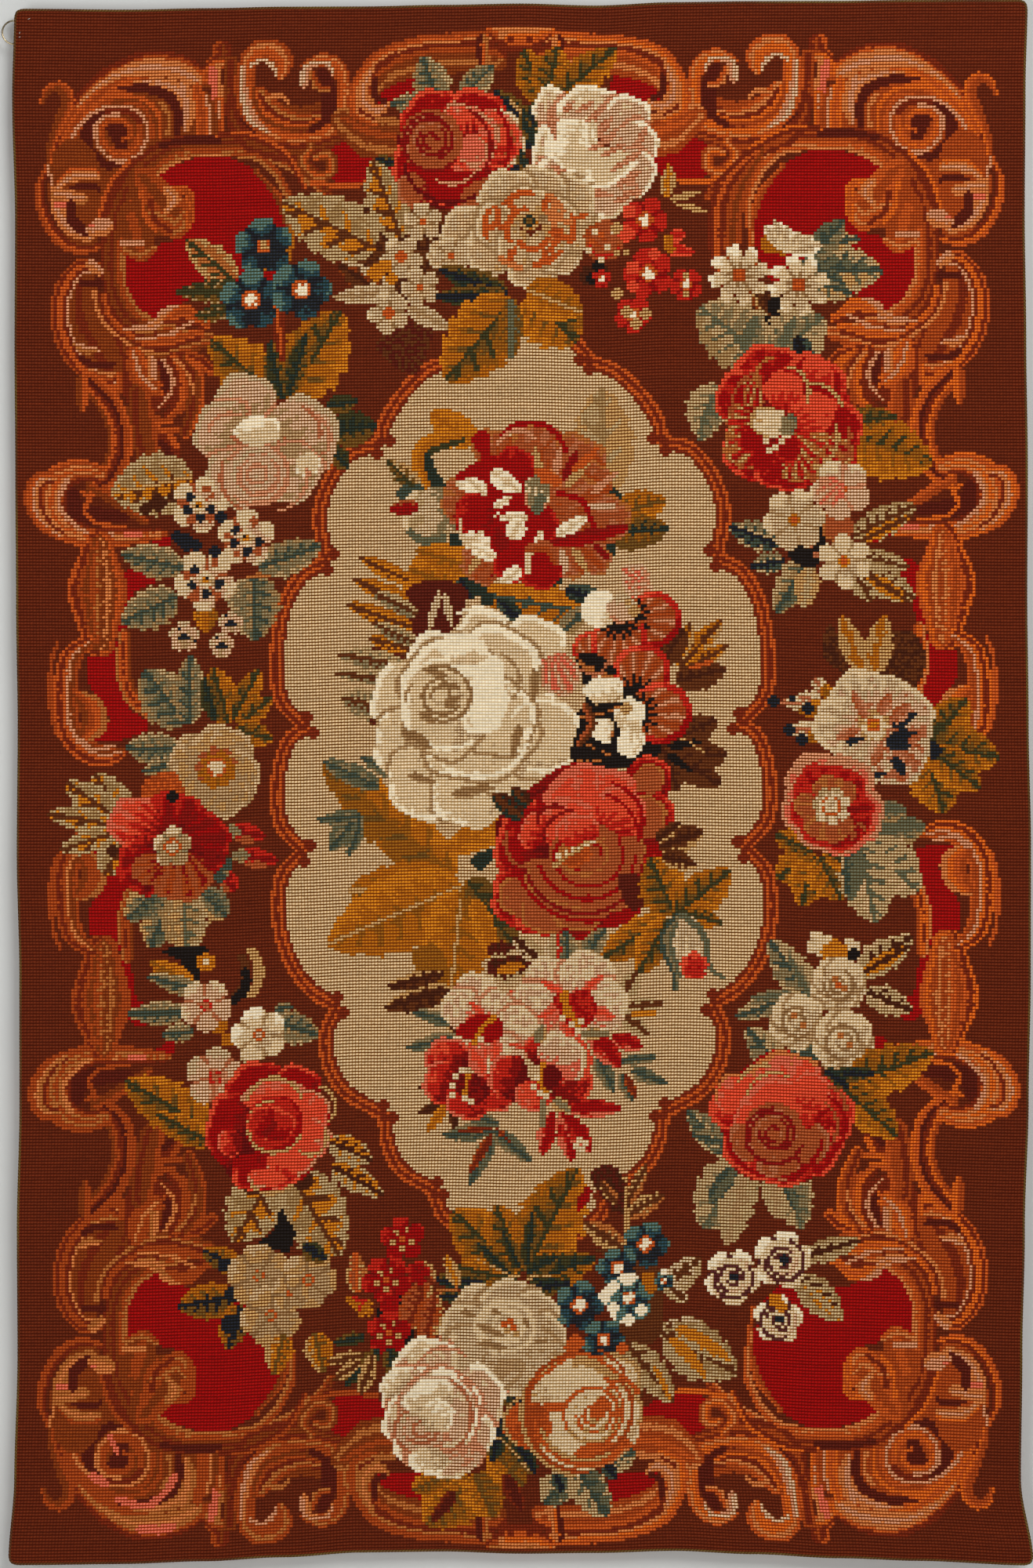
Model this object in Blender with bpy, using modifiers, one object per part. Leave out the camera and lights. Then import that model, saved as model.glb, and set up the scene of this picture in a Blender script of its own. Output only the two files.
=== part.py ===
"""Cross-stitch embroidery, hung by its top edge, with a wire hanging ring at the back of one corner.

Metres, +Z up. The stitched face looks along -Y and the back along +Y. The origin is the middle of the
top edge, half way through the cloth, so the cloth hangs below it.
"""

import math

import bmesh
import bpy
from mathutils import Vector

# The cloth, before it is pulled out of square: nominal width and length, and wool on canvas.
WIDTH = 0.903
LENGTH = 1.386
THICKNESS = 0.003
EDGE_ROUND = 0.0011
CORNER_RADIUS = 0.009

# The mesh of the sheet: even cells, with closer lines along the rim for its rounded corners.
CELL = 0.036
RIM_LINES = (0.0, 0.003, 0.009, 0.020)

# How far each side edge stands outside its straight line, in millimetres, going down the cloth.
SIDE_COLUMNS = ("drop_m", "left_mm", "right_mm")
SIDE_EDGES = (
    (0.000, 1.0, 0.5),
    (0.080, 2.8, -1.4),
    (0.190, 0.2, -2.1),
    (0.305, 0.7, -0.7),
    (0.415, 0.0, 0.7),
    (0.528, -0.7, 0.2),
    (0.640, -2.1, 1.4),
    (0.750, -1.4, 3.5),
    (0.865, -4.0, 3.3),
    (0.975, -4.2, 1.4),
    (1.090, -1.6, -2.1),
    (1.200, -2.0, -4.7),
    (1.310, 0.7, -6.0),
    (1.386, 5.6, 4.9),
)

# How far the top edge stands above, and the bottom edge below, its straight line, going across.
LEVEL_COLUMNS = ("across_m", "top_mm", "bottom_mm")
LEVEL_EDGES = (
    (-0.4515, -4.6, 6.6),
    (-0.350, -5.4, 6.3),
    (-0.280, -4.2, 4.2),
    (-0.210, -2.8, 0.7),
    (-0.140, -2.6, -3.5),
    (-0.070, -1.2, -4.2),
    (0.000, 0.0, -2.1),
    (0.066, -1.8, -2.8),
    (0.136, 1.2, -4.9),
    (0.206, 2.1, -2.1),
    (0.280, 2.3, 1.4),
    (0.350, 3.3, 3.5),
    (0.4515, 3.6, 6.6),
)

# Soft swells of the hanging cloth: a place on it, how far each reaches, and how far it stands
# towards the back (+) or the front (-), in millimetres. The columns are across_m, drop_m,
# reach_x_m, reach_z_m and back_mm.
SWELLS = (
    (-0.300, 0.62, 0.075, 0.420, 3.0),
    (-0.130, 0.74, 0.070, 0.460, -2.6),
    (0.040, 0.66, 0.065, 0.400, 2.2),
    (0.200, 0.80, 0.075, 0.430, -2.8),
    (0.360, 0.70, 0.060, 0.380, 2.4),
    (-0.455, 0.95, 0.050, 0.170, -4.5),
    (0.455, 1.23, 0.050, 0.110, -5.0),
    (-0.450, 1.38, 0.090, 0.075, -6.5),
    (0.450, 1.38, 0.085, 0.060, -7.5),
    (0.000, 1.39, 0.180, 0.060, 3.2),
)
# The held top edge stays flat, and the swells grow below it.
FLAT_TOP = 0.045
FULL_SWELL = 0.300

# The hanging ring, flat against the back with its centre on the left edge.
RING_OUTER = 0.0224
RING_WIRE = 0.0016
RING_DROP = 0.0250
RING_CENTRE_X = -0.4534
RING_CLEARANCE = 0.0003
RING_STEPS = 40
WIRE_STEPS = 10

# Principled BSDF values: colour, roughness and metallic.
WOOL_BROWN = ((0.118, 0.030, 0.014), 0.95, 0.0)
PLATED_STEEL = ((0.62, 0.58, 0.50), 0.28, 1.0)


def clear_scene():
    for obj in list(bpy.data.objects):
        bpy.data.objects.remove(obj)


def material(name, finish):
    colour, roughness, metallic = finish
    made = bpy.data.materials.new(name)
    made.use_nodes = True
    shader = made.node_tree.nodes["Principled BSDF"]
    shader.inputs["Base Color"].default_value = (*colour, 1.0)
    shader.inputs["Roughness"].default_value = roughness
    shader.inputs["Metallic"].default_value = metallic
    return made


def eased(share):
    """0 to 1 with no corner at either end."""
    share = min(max(share, 0.0), 1.0)
    return share * share * (3 - 2 * share)


def table_value(table, columns, name, at):
    """The named column of a table at this place, eased from row to row."""
    column = columns.index(name)
    if at <= table[0][0]:
        return table[0][column]
    for before, after in zip(table, table[1:]):
        if at <= after[0]:
            share = eased((at - before[0]) / (after[0] - before[0]))
            return before[column] + share * (after[column] - before[column])
    return table[-1][column]


def swell_depth(across, drop):
    """How far the hanging cloth stands back from its flat plane at this place, in metres."""
    depth = 0.0
    for centre_x, centre_drop, reach_x, reach_z, back_mm in SWELLS:
        off_x = (across - centre_x) / reach_x
        off_z = (drop - centre_drop) / reach_z
        depth += back_mm / 1000 * math.exp(-(off_x * off_x + off_z * off_z))
    return depth * eased((drop - FLAT_TOP) / (FULL_SWELL - FLAT_TOP))


def rounded_corner(across, drop):
    """The square corner's last CORNER_RADIUS, drawn round."""
    inner_x = WIDTH / 2 - CORNER_RADIUS
    inner_z = LENGTH / 2 - CORNER_RADIUS
    x, z = across, LENGTH / 2 - drop
    u = (abs(x) - inner_x) / CORNER_RADIUS
    v = (abs(z) - inner_z) / CORNER_RADIUS
    if u <= 0 or v <= 0:
        return across, drop
    round_x = inner_x + CORNER_RADIUS * u * math.sqrt(1 - v * v / 2)
    round_z = inner_z + CORNER_RADIUS * v * math.sqrt(1 - u * u / 2)
    return math.copysign(round_x, x), LENGTH / 2 - math.copysign(round_z, z)


def hung(across, drop):
    """Where a point of the square cloth hangs: its edges pulled out of line and its face swelling."""
    across, drop = rounded_corner(across, drop)
    side = across / (WIDTH / 2)
    level = 1 - 2 * drop / LENGTH
    left = table_value(SIDE_EDGES, SIDE_COLUMNS, "left_mm", drop)
    right = table_value(SIDE_EDGES, SIDE_COLUMNS, "right_mm", drop)
    top = table_value(LEVEL_EDGES, LEVEL_COLUMNS, "top_mm", across)
    bottom = table_value(LEVEL_EDGES, LEVEL_COLUMNS, "bottom_mm", across)
    out_x = (right * (1 + side) - left * (1 - side)) / 2000
    out_z = (top * (1 + level) - bottom * (1 - level)) / 2000
    return Vector((across + out_x, swell_depth(across, drop), out_z - drop))


def grid_lines(length):
    """Places along one side of the sheet: the rim's close lines, then even cells."""
    inner = length - 2 * RIM_LINES[-1]
    cells = round(inner / CELL)
    middle = [RIM_LINES[-1] + inner * step / cells for step in range(1, cells)]
    return list(RIM_LINES) + middle + [length - line for line in reversed(RIM_LINES)]


def embroidery(collection):
    """The stitched cloth with its turned edge, as one sheet."""
    lines_x, lines_z = grid_lines(WIDTH), grid_lines(LENGTH)
    bm = bmesh.new()
    bmesh.ops.create_grid(bm, x_segments=len(lines_x) - 1, y_segments=len(lines_z) - 1, size=0.5)
    for vert in bm.verts:
        column = round((vert.co.x + 0.5) * (len(lines_x) - 1))
        row = round((0.5 - vert.co.y) * (len(lines_z) - 1))
        vert.co = hung(lines_x[column] - WIDTH / 2, lines_z[row])
    bmesh.ops.recalc_face_normals(bm, faces=bm.faces)
    # The face looks along -Y, so that the sheet thickens the same way each time.
    if sum(face.normal.y for face in bm.faces) > 0:
        bmesh.ops.reverse_faces(bm, faces=bm.faces)
    mesh = bpy.data.meshes.new("embroidery")
    bm.to_mesh(mesh)
    bm.free()
    obj = bpy.data.objects.new("embroidery", mesh)
    collection.objects.link(obj)
    mesh.materials.append(material("wool_brown", WOOL_BROWN))
    mesh.shade_smooth()

    thick = obj.modifiers.new("cloth_thickness", "SOLIDIFY")
    thick.thickness = THICKNESS
    thick.offset = 0.0
    rounding = obj.modifiers.new("turned_edge", "BEVEL")
    rounding.width = EDGE_ROUND
    rounding.segments = 2
    rounding.limit_method = "ANGLE"
    rounding.angle_limit = math.radians(60)
    return obj


def hanging_ring(collection):
    """A round ring of plated wire, standing 0.3 mm off the cloth's back."""
    plane_y = THICKNESS / 2 + RING_CLEARANCE + RING_WIRE / 2
    bpy.ops.mesh.primitive_torus_add(
        major_radius=(RING_OUTER - RING_WIRE) / 2,
        minor_radius=RING_WIRE / 2,
        major_segments=RING_STEPS,
        minor_segments=WIRE_STEPS,
        location=(RING_CENTRE_X, plane_y, -RING_DROP),
        rotation=(math.pi / 2, 0, 0),
    )
    ring = bpy.context.object
    ring.name = "hanging_ring"
    ring.data.name = "hanging_ring"
    ring.data.materials.append(material("plated_steel", PLATED_STEEL))
    ring.data.shade_smooth()
    for holder in list(ring.users_collection):
        holder.objects.unlink(ring)
    collection.objects.link(ring)
    return ring


def main():
    clear_scene()
    collection = bpy.data.collections.new("cross_stitch_embroidery")
    bpy.context.scene.collection.children.link(collection)
    embroidery(collection)
    hanging_ring(collection)


main()
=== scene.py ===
import math

import bmesh
import bpy
import numpy as np
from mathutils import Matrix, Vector


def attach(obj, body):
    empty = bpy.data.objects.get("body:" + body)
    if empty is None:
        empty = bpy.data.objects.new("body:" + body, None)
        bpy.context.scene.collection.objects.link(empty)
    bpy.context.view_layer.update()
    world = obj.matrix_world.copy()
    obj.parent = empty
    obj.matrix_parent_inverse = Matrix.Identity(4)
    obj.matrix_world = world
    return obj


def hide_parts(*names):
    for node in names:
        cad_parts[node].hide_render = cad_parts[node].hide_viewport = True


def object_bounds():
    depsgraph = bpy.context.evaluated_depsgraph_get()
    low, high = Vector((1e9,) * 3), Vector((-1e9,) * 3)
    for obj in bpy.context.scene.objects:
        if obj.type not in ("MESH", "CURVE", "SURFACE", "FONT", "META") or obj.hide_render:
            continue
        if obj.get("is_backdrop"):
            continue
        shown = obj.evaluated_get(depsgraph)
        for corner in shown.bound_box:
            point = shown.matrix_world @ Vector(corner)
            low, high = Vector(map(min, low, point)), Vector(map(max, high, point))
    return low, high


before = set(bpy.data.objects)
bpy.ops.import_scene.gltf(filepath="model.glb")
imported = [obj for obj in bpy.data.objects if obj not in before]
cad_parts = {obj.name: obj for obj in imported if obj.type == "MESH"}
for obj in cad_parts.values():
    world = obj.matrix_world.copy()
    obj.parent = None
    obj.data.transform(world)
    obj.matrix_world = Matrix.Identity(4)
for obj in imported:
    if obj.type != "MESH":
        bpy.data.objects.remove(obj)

cad_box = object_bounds()


# The camera stands square in front of the stitched face, as the photograph was taken. Its frame is a
# little wider and taller than the cloth, and a long lens keeps the sides straight.
FRAME_HEIGHT = 1.400
FRAME_CENTRE = Vector((-0.0042, 0.0, -0.6965))
CAMERA_DISTANCE = 4.2
SENSOR = 36.0

camera = bpy.data.objects.new("camera", bpy.data.cameras.new("camera"))
bpy.context.scene.collection.objects.link(camera)
camera.data.sensor_width = SENSOR
camera.data.lens = SENSOR * CAMERA_DISTANCE / FRAME_HEIGHT
camera.location = FRAME_CENTRE + Vector((0, -CAMERA_DISTANCE, 0))
camera.rotation_euler = (math.pi / 2, 0, 0)
bpy.context.scene.camera = camera


# The embroidered face: wool cross-stitch worked over canvas from a counted chart, one wool a stitch.
# Places are counted in stitches, columns from the cloth's middle and rows from its top edge. Every
# motif is worked by a rule of its own, in wools that one string names from deep to light.
COLUMNS, ROWS = 322, 495

WOOLS = {
    "maroon": (113, 43, 15), "cream": (240, 208, 162), "scarlet": (174, 8, 4),
    "crimson": (150, 18, 10), "garnet": (116, 14, 10), "cherry": (214, 41, 24),
    "coral": (255, 88, 56), "shell": (252, 122, 94), "blush": (242, 168, 128),
    "rose": (208, 124, 84), "fawn": (190, 94, 48), "pink": (247, 206, 171),
    "white": (255, 241, 213), "ivory": (247, 224, 188), "oat": (237, 211, 172),
    "stone": (208, 173, 127), "taupe": (172, 134, 90), "apricot": (238, 143, 79),
    "ember": (244, 116, 32), "flame": (220, 99, 34), "copper": (187, 80, 25), "tan": (205, 122, 59),
    "nut": (149, 66, 18), "rust": (135, 46, 15), "chestnut": (100, 32, 16),
    "gold": (231, 143, 27), "ochre": (201, 118, 17), "moss": (165, 102, 19),
    "olive": (124, 88, 32), "bottle": (68, 66, 36), "pine": (44, 56, 48),
    "straw": (226, 180, 116), "sage": (188, 154, 104), "lichen": (156, 140, 104), "pear": (218, 190, 142),
    "sea": (112, 114, 90), "teal": (72, 86, 76), "ink": (34, 38, 48),
    "navy": (38, 44, 54), "blue": (48, 80, 94), "sky": (96, 132, 130),
    "black": (32, 26, 24), "plum": (96, 44, 42), "bark": (108, 56, 22), "umber": (82, 38, 16),
}
WOOL_NUMBER = {name: number for number, name in enumerate(WOOLS)}

COLUMN, ROW = np.meshgrid(np.arange(COLUMNS) + 0.5 - COLUMNS / 2, np.arange(ROWS) + 0.5)
draw = np.random.default_rng(1870)
UNEVEN = draw.random((ROWS, COLUMNS))
chart = np.full((ROWS, COLUMNS), WOOL_NUMBER["maroon"])


def spot(centre, reach):
    """The stitches about a place, and how far each lies to its right and below it."""
    column, row = centre
    first, top = int(max(column - reach + COLUMNS / 2, 0)), int(max(row - reach, 0))
    last, bottom = int(min(column + reach + COLUMNS / 2 + 2, COLUMNS)), int(min(row + reach + 2, ROWS))
    where = (slice(top, max(bottom, top)), slice(first, max(last, first)))
    return where, COLUMN[where] - column, ROW[where] - row


def work(where, inside, tone, wools, uneven=0.14):
    """Works the stitches inside in the named wools, which run from deep (tone 0) to light (tone 1)."""
    numbers = np.array([WOOL_NUMBER[name] for name in wools.split()])
    step = (tone + uneven * (UNEVEN[where] - 0.5)) * len(numbers)
    step = np.clip(step.astype(int), 0, len(numbers) - 1)
    chart[where][inside] = numbers[step][inside]


def smooth(points, closed=False):
    """Places along a smooth line through the given points."""
    knots = np.array(points, float)
    if closed:
        knots = np.vstack([knots[-1:], knots, knots[:2]])
    else:
        knots = np.vstack([2 * knots[0] - knots[1], knots, 2 * knots[-1] - knots[-2]])
    share = np.linspace(0, 1, 10, endpoint=False)[:, None]
    line = []
    for before, start, end, after in zip(knots, knots[1:], knots[2:], knots[3:]):
        bend = 2 * before - 5 * start + 4 * end - after
        twist = 3 * start - before - 3 * end + after
        line.append(start + ((end - before) * share + bend * share**2 + twist * share**3) / 2)
    return np.vstack(line + [knots[-2:-1]])


def fill(points, wools, rounded=True):
    """Fills a closed outline, drawn smooth through its points."""
    line = smooth(points, closed=True) if rounded else np.array(points, float)
    middle = (line.min(axis=0) + line.max(axis=0)) / 2
    where, right, down = spot(middle, np.ptp(line, axis=0).max() / 2 + 1)
    inside = np.zeros(right.shape, bool)
    for (x0, y0), (x1, y1) in zip(line - middle, np.roll(line, -1, axis=0) - middle):
        if y0 != y1:
            spans = (y0 > down) != (y1 > down)
            inside ^= spans & (right < (x1 - x0) * (down - y0) / (y1 - y0) + x0)
    work(where, inside, np.full(right.shape, 0.5), wools)


def band(points, widths, wools, uneven=0.06):
    """A smooth band through the points, as wide as the one number or the several along it. Its wools run
    from the left hand of travel to the right."""
    line, widths = smooth(points), np.atleast_1d(widths)
    half = np.interp(np.linspace(0, 1, len(line)), np.linspace(0, 1, len(widths)), widths) / 2
    ahead = np.gradient(line, axis=0)
    ahead /= np.hypot(*ahead.T)[:, None] + 1e-9
    middle = (line.min(axis=0) + line.max(axis=0)) / 2
    where, right, down = spot(middle, np.ptp(line, axis=0).max() / 2 + max(widths))
    off = np.stack([right, down], axis=-1)[..., None, :] - (line - middle)
    far = np.hypot(off[..., 0], off[..., 1])
    near = np.argmin(far - half * 0.5, axis=-1)
    pick = np.take_along_axis(far, near[..., None], axis=-1)[..., 0]
    offset = np.take_along_axis(off, near[..., None, None], axis=-2)[..., 0, :]
    side = ahead[near][..., 0] * offset[..., 1] - ahead[near][..., 1] * offset[..., 0]
    across = np.where(side < 0, -1, 1) * pick / np.maximum(half[near], 0.5)
    work(where, np.abs(across) <= 1, (across + 1) / 2, wools, uneven)


def turned(point, angle, distance):
    """The place at a distance and an angle from another, the angle clockwise from the right."""
    return point[0] + distance * math.cos(angle), point[1] + distance * math.sin(angle)


def arc(centre, reach, start, sweep, wool, width=1.3, wind=0.0, flat=1.0):
    """A curved line about a centre, from its start through its sweep in degrees; it may wind inwards."""
    shares = [step / 8 for step in range(9)]
    line = [turned((0, 0), math.radians(start + sweep * s), reach * (1 - wind * s)) for s in shares]
    band([(centre[0] + x, centre[1] + y * flat) for x, y in line], (width * 0.8, width, width * 0.8), wool)


def leaf(base, tip, width, wools, veins=5, teeth=5, bend=0.0, rib=None):
    """A leaf from its stalk to its tip: deep wool by the midrib, light at the toothed edge."""
    base, tip = np.array(base, float), np.array(tip, float)
    length = np.hypot(*(tip - base))
    way = (tip - base) / length
    where, right, down = spot((base + tip) / 2, length / 2 + width)
    right, down = right + (tip - base)[0] / 2, down + (tip - base)[1] / 2
    along = (right * way[0] + down * way[1]) / length
    aside = down * way[0] - right * way[1] - bend * 4 * along * (1 - along)
    held = np.clip(along, 0, 1)
    shape = width / 2 * np.sin(math.pi * held**0.8) ** 0.62
    shape *= 1 - 0.18 * ((held * teeth - np.abs(aside) / width) % 1)
    side = aside / np.maximum(shape, 0.3)
    slant = (held * veins - np.abs(side) * 0.9) % 1
    tone = 0.36 + 0.40 * np.abs(side) + 0.18 * np.sign(side) + 0.18 * (slant - 0.5)
    tone[(slant < 0.26) & (np.abs(side) < 0.66)] -= 0.3
    inside = (along > 0) & (along < 1) & (np.abs(side) < 1)
    work(where, inside, tone, wools, 0.12)
    work(where, inside & (np.abs(aside) < 0.6), np.zeros(tone.shape), rib or wools.split()[0])


def shade(right, down, size):
    """How much deeper a flower gets away from the light, which falls from above its left side."""
    return 0.10 * (right + 1.4 * down) / size


def petal(middle, angle, size, wools, broad=1.0, shift=0.0, streak=0.05, line=None):
    """A rounded petal: light at its rolled rim, deeper where it dips to the heart, with soft folds. Its
    own line shows where it lies over stitches of the same flower."""
    where, right, down = spot(middle, size * max(1.0, broad) * 1.15 + 2)
    out = (right * math.cos(angle) + down * math.sin(angle)) / size
    side = (down * math.cos(angle) - right * math.sin(angle)) / (size * broad)
    far = np.hypot(out, side) * (1 + 0.05 * np.sin(5 * np.arctan2(side, out) + 4 * angle))
    if line:
        over = np.isin(chart[where], [WOOL_NUMBER[name] for name in wools.split()])
        work(where, over & (far < 1 + 1.2 / size), np.zeros(far.shape), line)
    tone = 0.46 + shift + 0.26 * out - shade(right, down, size)
    tone += streak * np.sin(math.pi * side * (4 + size * 0.35) / (1.6 + out))
    tone[(far > 0.82) & (out > -0.2)] += 0.24
    tone[(far > 0.62) & (far < 0.82) & (out > 0)] -= 0.10
    work(where, far < 1, tone, wools, 0.1)


def flower(wools, petals, folds=(), line=None, streak=0.05):
    """A large flower, worked from the back to the front. A petal is its column, row, the way it points in
    degrees, its size, breadth and tone; a fold is the column, row, reach, start, sweep and wool of a line."""
    for column, row, degrees, size, broad, shift in petals:
        petal((column, row), math.radians(degrees), size, wools, broad, shift, streak, line)
    for column, row, reach, start, sweep, wool in folds:
        arc((column, row), reach, start, sweep, wool)


def cup(centre, size, wools, line, turn=0, rings=3, flat=1.0):
    """A flower's heart: petals folded one inside the other, each behind its own open line."""
    where, right, down = spot(centre, size * max(flat, 1.0) + 2)
    far = np.hypot(right, down / flat) / size
    work(where, far < 1, 0.8 - 0.4 * ((far * rings) % 1) - 0.1 * (right + down) / size, wools, 0.12)
    for ring in range(rings):
        arc(centre, size * (1 - ring / rings), turn + 140 * ring, 250, line, 1.3, 0.18, flat)


def blossom(centre, size, wools, petals=5, turn=0.3, heart="flame gold", eye=0.26, notch=0.24):
    """A small open flower: notched petals round an eye of its own wools."""
    where, right, down = spot(centre, size + 1)
    far = np.hypot(right, down) / size
    lobe = np.abs(np.cos((np.arctan2(down, right) + turn) * petals / 2))
    tone = 0.34 + 0.52 * far * lobe**0.4 - shade(right, down, size)
    tone[(lobe < 0.25) & (far > eye)] -= 0.5
    work(where, far < 1 - notch * (1 - lobe) ** 1.5, tone, wools, 0.12)
    if eye:
        work(where, far < eye, 1.1 - far / eye, heart, 0.5)


def dots(wool, places):
    """Small patches of one wool: each is its column, its row and its size."""
    for column, row, size in places:
        blossom((column, row), size, wool, eye=0, notch=0)


def bud(base, tip, width, wools, calyx="bottle sage"):
    """A closed bud on its green cup."""
    leaf(base, tip, width, wools, veins=2, teeth=1)
    middle = (base[0] * 0.62 + tip[0] * 0.38, base[1] * 0.62 + tip[1] * 0.38)
    leaf(base, middle, width * 0.7, calyx, veins=1, teeth=1)


def spray(leaves, wools, **shape):
    """Several leaves of the same wools: each row is its stalk, its tip and its width."""
    for column, row, tip_column, tip_row, width in leaves:
        leaf((column, row), (tip_column, tip_row), width, wools, **shape)


# The scroll frame: a border of leafy scrolls in copper and tan wools round scarlet panels. It is
# charted for the top left quarter and worked four times, turned over for the right side, in brighter
# wools there, and for the foot, in duller ones.
FOOT_ROW = 501
FIELDS_UNDER_PANELS = 2

PANELS = (
    ((-94, 47), (-83, 53), (-76, 64), (-76, 80), (-84, 92), (-104, 92), (-115, 98), (-121, 98), (-126, 88),
        (-126, 76), (-112, 74), (-105, 68), (-105, 60), (-116, 54), (-106, 48)),
    ((-60, 45), (-54, 40), (-49, 47), (-38, 48), (-46, 55), (-60, 55)),
    ((-47, 29), (-41, 23), (-31, 21), (-30, 30), (-42, 31)),
    ((-137, 202), (-130, 201), (-127, 196), (-128, 204), (-129, 214), (-126, 222), (-120, 227), (-121, 230),
        (-130, 233), (-137, 233), (-133, 229), (-133, 223), (-139, 214)),
    ((-126, 178), (-115, 181), (-124, 186), (-126, 198), (-129, 198)),
    ((-118, 169), (-112, 168), (-113, 172)),
)
LIGHT, DARK, HAIR, SHADE = "apricot blush apricot", "chestnut", "flame", "rust"
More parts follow.
